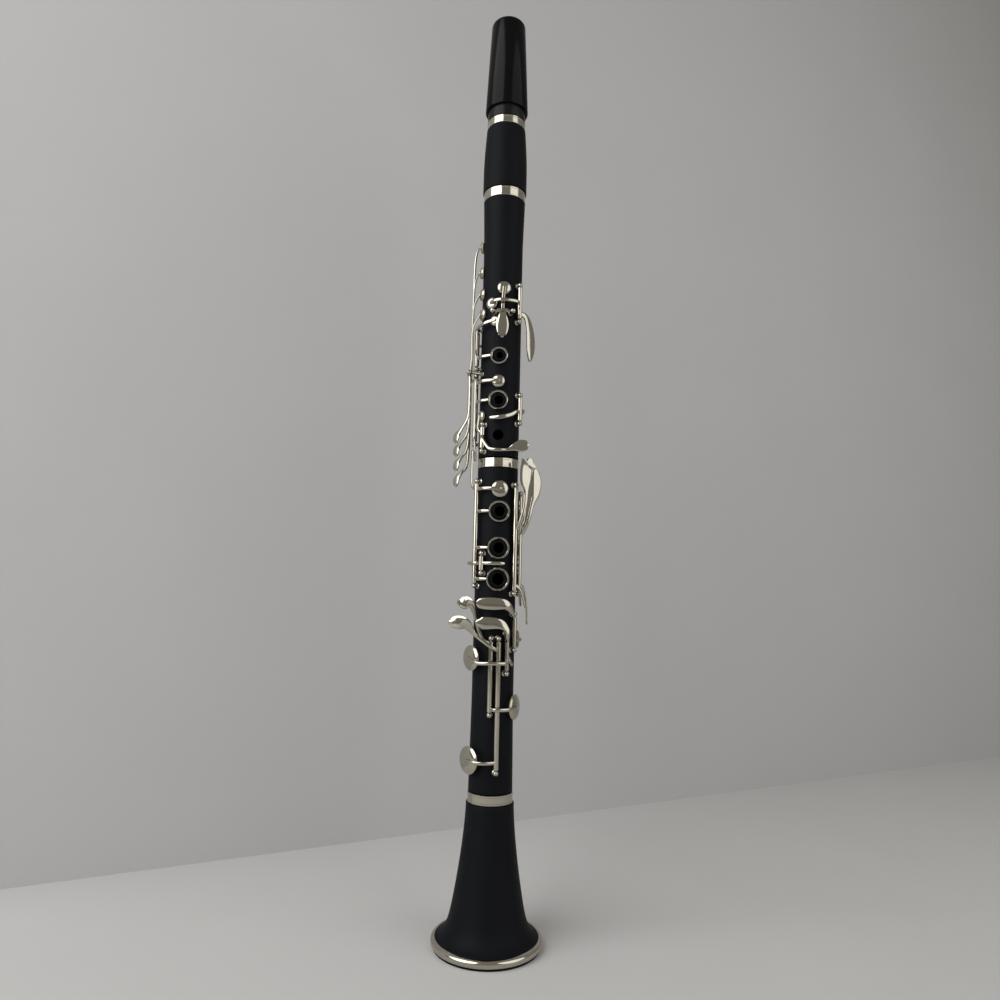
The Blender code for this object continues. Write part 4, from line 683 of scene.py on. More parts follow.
# The hinges: each key turns on a steel rod that runs through the balls of two or more posts. The posts are
# turned with a ball, a stem and a foot, and screw into the body; the rod ends flush with the balls.
ROD_RADIUS = 0.0008
ROD_HEIGHT = 0.0032
POST_BALL = 0.0019
POST_STEM = 0.0011
POST_FOOT = 0.002
UPPER_RING_ROD = (-82, ROD_HEIGHT, 0.0105, 0.0975)
UPPER_RING_MIDDLE_POST = 0.0675
THROAT_G_ROD = (47, ROD_HEIGHT, 0.1015, 0.1295)
C_SHARP_ROD = (-42, ROD_HEIGHT, 0.004, 0.0235)
E_FLAT_ROD = (56, ROD_HEIGHT, 0.0255, 0.0465)
LOWER_RING_ROD = (-56, ROD_HEIGHT, 0.141, 0.216)
B_SLIVER_ROD = (-35, ROD_HEIGHT, 0.15, 0.164)
LOW_E_ROD = (11, 0.0039, 0.015, 0.105)
LOW_F_SHARP_ROD = (-6, 0.0026, 0.053, 0.105)
LOW_F_ROD = (31, ROD_HEIGHT, 0.081, 0.109)
A_FLAT_ROD = (52, ROD_HEIGHT, 0.097, 0.122)
LEFT_E_ROD = (48, ROD_HEIGHT, 0.136, 0.2135)
LEFT_F_ROD = (70, ROD_HEIGHT, 0.136, 0.208)
LEFT_F_SHARP_ROD = (110, ROD_HEIGHT, 0.136, 0.208)
THROAT_A_ROD = (0.0035, 0.1075, -0.0068, 0.0082)
REGISTER_ROD = (0.0035, 0.1245, -0.006, 0.006)
TRILL_ROD = (0.00805, 0.0625)
TRILL_POST_SPREAD = 28


def steel():
    """Polished steel, a little darker than the nickel, with turning marks."""
    material, shader, place = blank("steel")
    cloud = noise(place, (200, 200, 200), 3)
    marks = noise(place, (3000, 3000, 900), 2)
    mixed(cloud, (0.40, 0.38, 0.33), (0.48, 0.46, 0.40)).feed(shader, "Base Color")
    (0.13 + 0.12 * cloud + 0.06 * marks).feed(shader, "Roughness")
    bump(marks, 0.05, 0.00005).feed(shader, "Normal")
    shader.inputs["Metallic"].default_value = 1.0
    return material


def on_line(name, start, end, profile, segments=24):
    """A piece turned about a line; its profile is (radius, distance along the line)."""
    rotation = (end - start).to_track_quat("Z", "Y").to_matrix().to_4x4()
    return turned(name, profile, segments, Matrix.Translation(start) @ rotation)


def surface(z):
    """The radius of the joint's outside at a level."""
    share = 1 - (z - LOWER_BASE) / LOWER_FLARE_HEIGHT
    return BODY_RADIUS + (LOWER_FOOT_RADIUS - BODY_RADIUS) * max(share, 0)


def post(angle, z, height):
    """A post: a ball on a stem, with a turned foot let into the body."""
    foot = surface(z) - 0.0002
    rise = BODY_RADIUS + height - foot
    profile = [(0, rise + POST_BALL)]
    for step in range(1, 8):
        turn = math.radians(20 * step)
        profile.append((POST_BALL * math.sin(turn), rise + POST_BALL * math.cos(turn)))
    profile += [(POST_STEM, rise - POST_BALL * 0.92), (POST_STEM, rise * 0.33), (POST_FOOT * 0.9, 0.0007),
                (POST_FOOT, 0.0005), (POST_FOOT, 0), (0, 0)]
    return turned("post", profile, 24, seat_frame(angle, foot, z))


def hinge(node, feet, start, end):
    """Posts on the body and the rod through their balls."""
    over = (end - start).normalized() * POST_BALL * 0.97
    length = (end - start).length + 2 * over.length
    soft = 0.0002
    profile = [(0, 0), (ROD_RADIUS * 0.75, 0), (ROD_RADIUS, soft), (ROD_RADIUS, length - soft),
               (ROD_RADIUS * 0.75, length), (0, length)]
    rod = on_line("rod", start - over, end + over, profile, 20)
    posts = joined(node.replace("_hinge", "_posts"), [rod] + [post(*foot) for foot in feet])
    finished(posts, rod_steel, "instrument_body", "rod_steel", node)


def rod_hinge(node, base, rod, middle=()):
    """A hinge along the body."""
    angle, height, low, high = rod
    radius = BODY_RADIUS + height
    hinge(node, [(angle, base + z, height) for z in (low, high, *middle)], polar(angle, radius, base + low),
          polar(angle, radius, base + high))


def cross_hinge(node, z, back, front, ends):
    """A hinge across the front or the back of the body."""
    points = [Vector((x, back * (BODY_RADIUS + front), z)) for x in ends]
    feet = []
    for point in points:
        angle = math.degrees(math.atan2(point.x, -point.y))
        feet.append((angle, z, point.to_2d().length - BODY_RADIUS))
    hinge(node, feet, *points)


rod_steel = steel()
rod_hinge("upper_ring_key_hinge", UPPER_BASE, UPPER_RING_ROD, [UPPER_RING_MIDDLE_POST])
for key, base, rod in (
        ("throat_g_sharp_key", UPPER_BASE, THROAT_G_ROD),
        ("c_sharp_g_sharp_key", UPPER_BASE, C_SHARP_ROD),
        ("e_flat_b_flat_key", UPPER_BASE, E_FLAT_ROD),
        ("lower_ring_key", LOWER_BASE, LOWER_RING_ROD),
        ("b_f_sharp_key", LOWER_BASE, B_SLIVER_ROD),
        ("low_e_key", LOWER_BASE, LOW_E_ROD),
        ("f_sharp_c_sharp_key", LOWER_BASE, LOW_F_SHARP_ROD),
        ("low_f_key", LOWER_BASE, LOW_F_ROD),
        ("a_flat_e_flat_key", LOWER_BASE, A_FLAT_ROD),
        ("left_e_lever", LOWER_BASE, LEFT_E_ROD),
        ("left_f_lever", LOWER_BASE, LEFT_F_ROD),
        ("left_f_sharp_lever", LOWER_BASE, LEFT_F_SHARP_ROD)):
    rod_hinge(key + "_hinge", base, rod)
cross_hinge("throat_a_key_hinge", UPPER_BASE + THROAT_A_ROD[1], -1, THROAT_A_ROD[0], THROAT_A_ROD[2:])
cross_hinge("register_key_hinge", UPPER_BASE + REGISTER_ROD[1], 1, REGISTER_ROD[0], REGISTER_ROD[2:])
trill_line = -BODY_RADIUS - TRILL_ROD[0]
trill_level = UPPER_BASE + TRILL_ROD[1]
spread = -trill_line * math.tan(math.radians(TRILL_POST_SPREAD))
reach = -trill_line / math.cos(math.radians(TRILL_POST_SPREAD)) - BODY_RADIUS
hinge("trill_key_hinge", [(-90 + side * TRILL_POST_SPREAD, trill_level, reach) for side in (1, -1)],
      Vector((trill_line, -spread, trill_level)), Vector((trill_line, spread, trill_level)))


# The ring keys of the upper joint: rings that the fingers close with their holes, soldered to tubes on a
# long rod. The first lifts the vent pad, the second a pad and the bridge; the thumb has its own behind.
TUBE_RADIUS = 0.00175
TUBE_BORE = 0.0012
END_PLAY = 0.0003
ARM_HALF = 0.0012
ARM_THICK = 0.0007
TOUCH_THICK = 0.0008
ARM_OVERRUN = 0.0013
CUP_HEIGHT = 0.0024
LARGE_CUP_HEIGHT = 0.0029
RING_HEIGHT = 0.0015
RING_KEY_TRAVEL = 2.9
FIRST_TUBE_TOP = 0.082


def pad_skin():
    """Cream pad skin, creased."""
    material, shader, place = blank("pad_skin")
    crease = noise(place, (900, 900, 900), 4)
    mixed(crease, (0.50, 0.40, 0.25), (0.76, 0.67, 0.49)).feed(shader, "Base Color")
    (0.5 + 0.25 * crease).feed(shader, "Roughness")
    bump(crease, 0.25, 0.0001).feed(shader, "Normal")
    return material


def between(first, second, third, fourth, share):
    """A smooth curve from the second value to the third."""
    slope = share * (third - first)
    bend = share * share * (2 * first - 5 * second + 4 * third - fourth)
    twist = share ** 3 * (3 * second - first - 3 * third + fourth)
    return 0.5 * (2 * second + slope + bend + twist)


def forged(stations, thick, facing=None):
    """A forged bar through (point, half width) stations: oval in section, its end rounded.

    Its flat lies to the body, or faces an angle round the axis.
    """
    last = len(stations) - 1
    path = []
    for index in range(last):
        near = [stations[min(max(index + step, 0), last)] for step in (-1, 0, 1, 2)]
        for step in range(6):
            path.append(tuple(between(*values, step / 6) for values in zip(*near)))
    end, width = stations[-1]
    way = (end - path[-1][0]).normalized()
    path = [place for place in path if (place[0] - end).length > width * 1.05]
    for turn in (0, 25, 48, 66, 80):
        path.append((
            end - way * width * (1 - math.sin(math.radians(turn))), width * math.cos(math.radians(turn))))
    frames = []
    for index, (point, width) in enumerate(path):
        forward = (path[min(index + 1, len(path) - 1)][0] - path[max(index - 1, 0)][0]).normalized()
        outward = Vector((point.x, point.y, 0)) if facing is None else polar(facing, 1, 0)
        side = forward.cross(outward).normalized()
        up = side.cross(forward)
        thin = thick * min(1, 0.45 + 0.55 * width / ARM_HALF)
        columns = Matrix((side * width, up * thin, forward)).transposed().to_4x4()
        frames.append(Matrix.Translation(point) @ columns)
    bpy.ops.object.select_all(action="DESELECT")
    bpy.ops.mesh.primitive_circle_add(vertices=14, radius=1)
    piece = bpy.context.object
    bpy.ops.object.mode_set(mode="EDIT")
    bpy.ops.mesh.select_mode(type="EDGE")
    bpy.ops.mesh.select_all(action="SELECT")
    shape = bmesh.from_edit_mesh(piece.data)
    for corner in shape.verts:
        square = [math.copysign(abs(value) ** 0.62, value) for value in corner.co.xy]
        corner.co = frames[0] @ Vector((*square, 0))
    for before, after in zip(frames, frames[1:]):
        bpy.ops.mesh.extrude_region_move()
        shape = bmesh.from_edit_mesh(piece.data)
        ring = [corner for corner in shape.verts if corner.select]
        bmesh.ops.transform(shape, matrix=after @ before.inverted(), verts=ring, space=Matrix())
    bpy.ops.mesh.select_all(action="SELECT")
    bpy.ops.mesh.fill_holes(sides=0)
    bpy.ops.mesh.select_all(action="SELECT")
    bpy.ops.mesh.normals_make_consistent(inside=False)
    bpy.ops.object.mode_set(mode="OBJECT")
    return piece


def body_bar(base, stations, thick=ARM_THICK, facing=None):
    """A bar along (angle, height above the surface, height above base, half width) stations."""
    places = [(polar(angle, BODY_RADIUS + height, base + z), width) for angle, height, z, width in stations]
    return forged(places, thick, facing)


def free_points(base, stations):
    """Points and half widths at (x, distance in front of the surface, height above base, half width)."""
    return [(Vector((x, -BODY_RADIUS - front, base + z)), width) for x, front, z, width in stations]


def free_bar(base, stations):
    """A touch along stations off the body."""
    return forged(free_points(base, stations), TOUCH_THICK)


def body_points(base, stations):
    """Points at (angle, height above the surface, height above base)."""
    return [polar(angle, BODY_RADIUS + height, base + z) for angle, height, z in stations]


def cup_with_pad(base, place, points, seat=0.0, height=CUP_HEIGHT):
    """A domed pad cup at the end of its arm, and the pad glued into it, closed on its seat."""
    angle, z, radius = place
    ground = seat_frame(angle, BODY_RADIUS + seat + FIT_GAP, base + z)
    dome = [
        (0, height), (radius * 0.35, height * 0.985), (radius * 0.62, height * 0.92),
        (radius * 0.82, height * 0.78), (radius * 0.95, height * 0.58), (radius, height * 0.42),
        (radius * 0.985, height * 0.36), (radius * 0.93, height * 0.34), (0, height * 0.34)]
    skin = [
        (0, height * 0.42), (radius * 0.9, height * 0.42), (radius * 0.94, height * 0.3),
        (radius * 0.93, height * 0.08), (radius * 0.88, 0), (0, 0)]
    top = polar(angle, BODY_RADIUS + seat + FIT_GAP + height, base + z)
    run_out = top + (top - points[-1]).normalized() * ARM_OVERRUN
    arm = forged([(point, ARM_HALF) for point in points + [run_out]], ARM_THICK)
    return [arm, turned("cup", dome, 40, ground)], turned("pad", skin, 40, ground)


def finger_ring(base, rod, place, side):
    """A finger ring round its chimney, rounded inside and out, with its arm; side is -1 or 1."""
    angle, z, outer = place
    inner = outer - RING_WIDTH
    soft = 0.0004
    profile = [
        (inner, soft), (inner, RING_HEIGHT - soft), (inner + soft, RING_HEIGHT),
        (outer - soft, RING_HEIGHT), (outer, RING_HEIGHT - soft), (outer, soft), (outer - soft, 0),
        (inner + soft, 0)]
    ring = turned("ring", profile, 48, seat_frame(angle, BODY_RADIUS + FIT_GAP, base + z))
    across = side * (outer - RING_WIDTH / 2)
    rise = BODY_RADIUS + FIT_GAP + RING_HEIGHT / 2
    edge = angle + math.degrees(math.atan2(across, rise))
    start = rod[0] + (360 if side > 0 else 0)
    arm = body_bar(base, [(start, rod[1], z, ARM_HALF), ((start + edge) / 2, rod[1], z, ARM_HALF),
                          (edge, math.hypot(across, rise) - BODY_RADIUS, z, ARM_HALF * 0.8)])
    return [ring, arm]


def hung(node, start, end, pieces, pads, axis, rest=0):
    """Solder a key's pieces to its tube, turn the key and its pads to rest about the rod and hang them."""
    length = (end - start).length
    soft = 0.0002
    profile = [(TUBE_BORE, 0), (TUBE_RADIUS - soft, 0), (TUBE_RADIUS, soft), (TUBE_RADIUS, length - soft),
               (TUBE_RADIUS - soft, length), (TUBE_BORE, length)]
    tube = on_line("tube", start, end, profile)
    turn = Quaternion(axis, math.radians(rest)).to_matrix().to_4x4()
    turn = Matrix.Translation(start) @ turn @ Matrix.Translation(-start)
    forging = joined(node + "_forging", [tube] + pieces)
    forging.data.transform(turn)
    finished(forging, nickel_plate, node, "nickel_plate", node)
    for number, pad in enumerate(pads):
        pad.name = node + "_pad_" + str(number + 1)
        pad.data.transform(turn)
        finished(pad, pad_material, node, None)


def rod_key(node, base, rod, pieces, pads, axis, rest=0, low=None, high=None):
    """A key on a rod along the body, its tube between two posts unless other ends are given."""
    angle, height, post_low, post_high = rod
    clear = POST_BALL + END_PLAY
    ends = [post_low + clear if low is None else low, post_high - clear if high is None else high]
    hung(node, *(polar(angle, BODY_RADIUS + height, base + z) for z in ends), pieces, pads, axis, rest)


pad_material = pad_skin()
rod = UPPER_RING_ROD
angle, height, low, high = rod
clear = POST_BALL + END_PLAY
arm = body_points(UPPER_BASE, [
    (angle, height, FIRST_TUBE_TOP - 0.0035), (-70, 0.0044, 0.0805), (-69, 0.0044, 0.0945),
    (-60, 0.0044, 0.0975), (-35, 0.0038, 0.0992)])
cup, pad = cup_with_pad(UPPER_BASE, VENT_PAD, arm)
rod_key(
    "first_finger_ring_key", UPPER_BASE, rod, finger_ring(UPPER_BASE, rod, FIRST_RING, -1) + cup, [pad],
    (0, 0, 1), -RING_KEY_TRAVEL, UPPER_RING_MIDDLE_POST + clear, FIRST_TUBE_TOP)
rod_key("thumb_ring_key", UPPER_BASE, rod, finger_ring(UPPER_BASE, rod, THUMB_RING, 1), [], (0, 0, -1),
        -RING_KEY_TRAVEL, FIRST_TUBE_TOP + END_PLAY, high - clear)
level = MIDDLE_PAD[1]
arm = body_points(UPPER_BASE, [(angle, height, level), (-48, 0.0042, level), (-24, 0.0036, level)])
cup, pad = cup_with_pad(UPPER_BASE, MIDDLE_PAD, arm)
bridge = body_bar(UPPER_BASE, [
    (angle, height, low + 0.0055, ARM_HALF), (-71, 0.0039, low + 0.003, ARM_HALF),
    (-68, 0.0034, low - 0.0055, ARM_HALF), (-67, 0.0033, low - 0.013, 0.0016)])
rod_key(
    "second_finger_ring_key", UPPER_BASE, rod,
    finger_ring(UPPER_BASE, rod, SECOND_RING, -1) + cup + [bridge], [pad], (0, 0, 1), -RING_KEY_TRAVEL,
    low + clear, UPPER_RING_MIDDLE_POST - clear)


# The throat keys: the A key, an oval touch that rocks across the front, and the G sharp key, a long leaf
# at the side whose arm reaches over the A key. Both are forged and soldered to their tubes.
CROSS_CLEARANCE = 0.0035
THROAT_G_FACING = 45


def cross_key(node, ends, y, z, pieces, pads, axis):
    """A key on a rod across the body, its tube inside the two posts."""
    left, right = ends
    start = Vector((left + CROSS_CLEARANCE, y, z))
    hung(node, start, Vector((right - CROSS_CLEARANCE, y, z)), pieces, pads, axis)


front, z, left, right = THROAT_A_ROD
level = UPPER_BASE + z
middle = (left + right) / 2
axis_y = -BODY_RADIUS - front
cup, pad = cup_with_pad(UPPER_BASE, THROAT_A_PAD,
                        [Vector((middle, axis_y, level)), Vector((middle, axis_y - 0.0009, level + 0.0065))])
touch = free_bar(UPPER_BASE, [
    (middle, front, z, 0.0016), (middle, 0.0069, z - 0.0035, 0.0026), (middle, 0.0077, z - 0.0115, 0.0045),
    (middle, 0.0073, z - 0.0175, 0.0037), (middle, 0.0066, z - 0.0215, 0.0015)])
cross_key("throat_a_key", (left, right), axis_y, level, cup + [touch], [pad], (1, 0, 0))
rod = THROAT_G_ROD
angle, height, low, high = rod
level = THROAT_G_PAD[1]
cup, pad = cup_with_pad(UPPER_BASE, THROAT_G_PAD, body_points(UPPER_BASE, [
    (angle, height, level), (30, 0.0073, level), (2, 0.0075, level), (-16, 0.0058, level)]))
touch = body_bar(UPPER_BASE, [
    (angle, height, low + 0.0065, 0.0016), (62, 0.006, low + 0.004, 0.0026),
    (73, 0.0076, low - 0.006, 0.004), (78, 0.0078, low - 0.018, 0.0042),
    (80, 0.0072, low - 0.0275, 0.0016)], TOUCH_THICK, THROAT_G_FACING)
rod_key("throat_g_sharp_key", UPPER_BASE, rod, cup + [touch], [pad], (0, 0, 1))


# The register key: a rocker at the back, over the register tube, that the left thumb tips.
# It is forged flat, with a leaf below its rod and a small pad cup above.
front, z, left, right = REGISTER_ROD
level = UPPER_BASE + z
axis_y = BODY_RADIUS + front
cup, pad = cup_with_pad(
    UPPER_BASE, REGISTER_PAD, [Vector((0, axis_y, level)), Vector((0, axis_y + 0.0012, level + 0.015))],
    REGISTER_TUBE_RISE)
touch = forged([(Vector((0, axis_y, level)), 0.0016), (Vector((0, axis_y + 0.0026, level - 0.0055)), 0.0028),
                (Vector((0, axis_y + 0.0029, level - 0.0155)), 0.0036),
                (Vector((0, axis_y + 0.0015, level - 0.0235)), 0.0018)], TOUCH_THICK)
cross_key("register_key", (left, right), axis_y, level, cup + [touch], [pad], (-1, 0, 0))


# The four trill keys: long levers side by side on one rod at the left side, each with a small touch below
# that the right first finger presses and a pad above. They grow longer from the front one to the back one.
TRILL_PITCH = 0.0048
TRILL_TUBE_HALF = 0.0015
TRILL_TOUCHES = (0.0145, 0.0055, -0.0045, -0.0155)
TRILL_FACING = -45

for index, (place, touch_z) in enumerate(zip(TRILL_PADS, TRILL_TOUCHES)):
    y = (index - 1.5) * TRILL_PITCH
    end_z = UPPER_BASE + touch_z
    cup, pad = cup_with_pad(UPPER_BASE, place, [
        Vector((trill_line, y, trill_level)), Vector((trill_line + 0.0012, y, trill_level + 0.0125)),
        Vector((trill_line + 0.0015, y, UPPER_BASE + place[1] - 0.0115))])
    tail = forged([(Vector((trill_line, y, trill_level)), ARM_HALF),
                   (Vector((trill_line + 0.0004, y, trill_level - 0.0175)), ARM_HALF),
                   (Vector((trill_line - 0.0002, y, end_z + 0.016)), ARM_HALF),
                   (Vector((trill_line - 0.0047, y, end_z + 0.0065)), 0.0014),
                   (Vector((trill_line - 0.0078, y, end_z + 0.002)), 0.0028),
                   (Vector((trill_line - 0.0084, y, end_z - 0.002)), 0.0028),
                   (Vector((trill_line - 0.0078, y, end_z - 0.0042)), 0.0016)], TOUCH_THICK, TRILL_FACING)
    hung("trill_key_" + str(index + 1), Vector((trill_line, y - TRILL_TUBE_HALF, trill_level)),
         Vector((trill_line, y + TRILL_TUBE_HALF, trill_level)), cup + [tail], [pad], (0, -1, 0))


# The C sharp key and the sliver key above it: the first has a paddle for the left little finger, on a bar
# across the front, and the second a plain bar between the finger holes for the ring finger.
C_SHARP_FACING = 0

rod = C_SHARP_ROD
angle, height, low, high = rod
cup, pad = cup_with_pad(
    UPPER_BASE, C_SHARP_PAD,
    body_points(UPPER_BASE, [(angle, height, high - 0.0065), (-54, 0.0044, high - 0.003)]))
stem = body_points(UPPER_BASE, [
    (angle, height, low + 0.0125), (-36, 0.0052, low + 0.0085), (-28, 0.0056, low + 0.0045),
    (-18, 0.0056, low + 0.0008), (0, 0.0056, low), (19, 0.0053, low + 0.0005)])
paddle = ((0.0112, 0.004, low + 0.0023, 0.0027), (0.0157, 0.0035, low + 0.0034, 0.0044),
          (0.0202, 0.003, low + 0.004, 0.0036), (0.0222, 0.0028, low + 0.0041, 0.0014))
bar = [(point, ARM_HALF) for point in stem] + free_points(UPPER_BASE, paddle)
touch = forged(bar, TOUCH_THICK, C_SHARP_FACING)
rod_key("c_sharp_g_sharp_key", UPPER_BASE, rod, cup + [touch], [pad], (0, 0, 1))
rod = E_FLAT_ROD
angle, height, low, high = rod
level = E_FLAT_PAD[1]
bar_z = low + 0.0035
cup, pad = cup_with_pad(
    UPPER_BASE, E_FLAT_PAD, body_points(UPPER_BASE, [(angle, height, level), (70, 0.0042, level)]))
touch = body_bar(UPPER_BASE, [
    (angle, height, bar_z + 0.0047, ARM_HALF), (40, 0.0048, bar_z + 0.0043, ARM_HALF),
    (25, 0.0048, bar_z + 0.0013, 0.0014), (3, 0.0046, bar_z - 0.0009, 0.0015),
    (-22, 0.0042, bar_z - 0.0013, 0.0012)])
rod_key("e_flat_b_flat_key", UPPER_BASE, rod, cup + [touch], [pad], (0, 0, -1))


# The ring keys of the lower joint: three rings on one tube, with a pad above them and a bridge that
# reaches up to the upper joint's ring key. The sliver key beside them is a bar between two of the holes.
LOWER_RING_TRAVEL = 3.4

rod = LOWER_RING_ROD
angle, height, low, high = rod
level = LOWER_VENT_PAD[1]
cup, pad = cup_with_pad(LOWER_BASE, LOWER_VENT_PAD, body_points(LOWER_BASE, [
    (angle, height, level), (-32, 0.0042, level), (-10, 0.0037, level)]))
bridge = body_bar(LOWER_BASE, [
    (angle, height, high - 0.0065, ARM_HALF), (-63, 0.006, high - 0.003, ARM_HALF),
    (-65, 0.0062, high + 0.008, ARM_HALF), (-65, 0.006, high + 0.023, 0.0016)])
rings = [piece for place in LOWER_RINGS for piece in finger_ring(LOWER_BASE, rod, place, -1)]
rod_key("lower_ring_key", LOWER_BASE, rod, rings + cup + [bridge], [pad], (0, 0, 1), -LOWER_RING_TRAVEL)
rod = B_SLIVER_ROD
angle, height, low, high = rod
z = B_SLIVER_PAD[1]
cup, pad = cup_with_pad(LOWER_BASE, B_SLIVER_PAD, body_points(LOWER_BASE, [
    (angle, height, z), (-46, 0.0062, z), (-66, 0.0064, z), (-79, 0.0047, z)]))
touch = body_bar(LOWER_BASE, [
    (angle, height, z, ARM_HALF), (-15, 0.0038, z, ARM_HALF), (8, 0.0038, z, ARM_HALF),
    (21, 0.0034, z, 0.001)])
rod_key("b_f_sharp_key", LOWER_BASE, rod, cup + [touch], [pad], (0, 0, 1))


# The right little finger's keys: four touches in two rows at the left, each on its own rod, with the large
# pads of the lowest notes. The E and F keys stand open; the F sharp and A flat keys stand closed.
LOW_KEY_TRAVEL = 9

rod = LOW_E_ROD
angle, height, low, high = rod
level = LOW_E_PAD[1]
cup, pad = cup_with_pad(LOWER_BASE, LOW_E_PAD, body_points(LOWER_BASE, [
    (angle, height, level), (-14, 0.0062, level), (-38, 0.0062, level)]), SEAT_HEIGHT, LARGE_CUP_HEIGHT)
touch = free_bar(LOWER_BASE, [
    (0.0036, 0.0036, high - 0.0085, ARM_HALF), (-0.0005, 0.0069, high - 0.0065, ARM_HALF),
    (-0.006, 0.0061, high - 0.003, ARM_HALF), (-0.0132, 0.0036, high + 0.0026, 0.0014),
    (-0.0196, 0.003, high + 0.0096, 0.004), (-0.026, 0.0012, high + 0.0106, 0.0046),
    (-0.0312, -0.0018, high + 0.0106, 0.002)])
rod_key("low_e_key", LOWER_BASE, rod, cup + [touch], [pad], (0, 0, -1), -LOW_KEY_TRAVEL)
rod = LOW_F_SHARP_ROD
angle, height, low, high = rod
level = LOW_F_SHARP_PAD[1]
cup, pad = cup_with_pad(LOWER_BASE, LOW_F_SHARP_PAD, body_points(LOWER_BASE, [
    (angle, height, level), (5, 0.0077, level), (26, 0.0079, level), (50, 0.0063, level)]), SEAT_HEIGHT,
    LARGE_CUP_HEIGHT)
touch = free_bar(LOWER_BASE, [
    (-0.0018, 0.0025, high - 0.004, ARM_HALF), (-0.008, 0.0006, high, ARM_HALF),
    (-0.0122, -0.0012, high + 0.01, ARM_HALF), (-0.0142, -0.0004, high + 0.0175, 0.0016),
    (-0.017, 0.0008, high + 0.0235, 0.0038), (-0.022, 0.0002, high + 0.024, 0.0042),
    (-0.0262, -0.0022, high + 0.024, 0.002)])
rod_key("f_sharp_c_sharp_key", LOWER_BASE, rod, cup + [touch], [pad], (0, 0, -1))
rod = LOW_F_ROD
angle, height, low, high = rod
level = LOW_F_PAD[1] - 0.0025
tail_z = LOW_F_PAD[1] + 0.004
cup, pad = cup_with_pad(LOWER_BASE, LOW_F_PAD, body_points(LOWER_BASE, [
    (angle, height, level), (19, 0.0079, level), (-8, 0.0081, level), (-38, 0.0066, level)]), SEAT_HEIGHT,
    LARGE_CUP_HEIGHT)
tail = body_bar(LOWER_BASE, [
    (angle, height, tail_z, ARM_HALF), (40, 0.004, tail_z - 0.006, ARM_HALF),
    (47, 0.0042, tail_z - 0.0085, 0.0015)])
touch = free_bar(LOWER_BASE, [
    (0.0092, 0.0007, high - 0.0065, ARM_HALF), (0.009, 0.0046, high - 0.0035, ARM_HALF),
    (0.0085, 0.0052, high + 0.002, 0.0018), (0.003, 0.0058, high + 0.0062, 0.0034),
    (-0.008, 0.0047, high + 0.0066, 0.0042), (-0.0134, 0.0034, high + 0.0066, 0.003)])
rod_key("low_f_key", LOWER_BASE, rod, cup + [tail, touch], [pad], (0, 0, -1), -LOW_KEY_TRAVEL)
rod = A_FLAT_ROD
angle, height, low, high = rod
level = A_FLAT_PAD[1]
cup, pad = cup_with_pad(
    LOWER_BASE, A_FLAT_PAD, body_points(LOWER_BASE, [(angle, height, level), (74, 0.005, level)]),
    SEAT_HEIGHT)
touch = free_bar(LOWER_BASE, [
    (0.0141, -0.0037, high - 0.0042, ARM_HALF), (0.0125, 0.0028, high + 0.001, 0.0016),
    (0.008, 0.0071, high + 0.0063, 0.0032), (-0.001, 0.0081, high + 0.007, 0.0042),
    (-0.0128, 0.0076, high + 0.007, 0.0036)])
rod_key("a_flat_e_flat_key", LOWER_BASE, rod, cup + [touch], [pad], (0, 0, -1))


# The left little finger's levers: three long tubes up the right side, each with a leaf at the top and a
# foot below that pushes the right hand's key of the same note. They are forged and plated like the keys.
LEFT_LEAF_FACING = 20
LEFT_BACK_LEAF_FACING = 60

for node, rod, foot, leaf, facing in (
        ("left_e_lever", LEFT_E_ROD,
         [(59, 0.006, 0.1395, ARM_HALF), (65, 0.0082, 0.131, ARM_HALF), (69, 0.0088, 0.1265, 0.0016)],
         [(0.0165, 0.0006, 0.186, 0.0013), (0.0196, 0.0014, 0.1973, 0.0014), (0.0204, 0.0018, 0.2082, 0.0017),
          (0.0198, 0.002, 0.2154, 0.0038), (0.0202, 0.002, 0.2245, 0.0045), (0.0224, 0.0018, 0.2292, 0.0064),
          (0.0227, 0.0014, 0.2326, 0.0031)], LEFT_LEAF_FACING),
        ("left_f_lever", LEFT_F_ROD,
         [(81, 0.0062, 0.1395, ARM_HALF), (84, 0.0082, 0.127, ARM_HALF), (84, 0.0086, 0.1145, 0.0016)],
         [(0.0203, -0.006, 0.1822, 0.0013), (0.0232, -0.0054, 0.1913, 0.0014),
          (0.0252, -0.0052, 0.2005, 0.0016), (0.0275, -0.0054, 0.2078, 0.0029),
          (0.0281, -0.0058, 0.217, 0.0035), (0.0272, -0.0062, 0.2235, 0.0024),
          (0.0266, -0.0064, 0.227, 0.0012)], LEFT_LEAF_FACING),
        ("left_f_sharp_lever", LEFT_F_SHARP_ROD,
         [(121, 0.0062, 0.1395, ARM_HALF), (124, 0.008, 0.127, 0.0016)],
         [(0.0205, -0.0238, 0.189, 0.002), (0.0235, -0.0248, 0.203, 0.0042), (0.0242, -0.0252, 0.217, 0.0046),
          (0.0238, -0.0244, 0.226, 0.0018)], LEFT_BACK_LEAF_FACING)):
    angle, height, low, high = rod
    push = body_bar(LOWER_BASE, [(angle, height, low + 0.0065, ARM_HALF)] + foot)
    root = polar(angle, BODY_RADIUS + height, LOWER_BASE + leaf[0][2] - 0.005)
    blade = forged([(root, ARM_HALF)] + free_points(LOWER_BASE, leaf), TOUCH_THICK, facing)
    rod_key(node, LOWER_BASE, rod, [push, blade], [], (0, 0, 1))


# The room: a pale matt floor and a plain grey wall that stands a little turned behind the clarinet.
# Both are painted surfaces with a faint mottle, and take the soft shadow. The wall is clear from behind.
WALL_DISTANCE = 0.265
WALL_TURN = 27
WALL_CENTRE = (0.3, 0, 0.9)


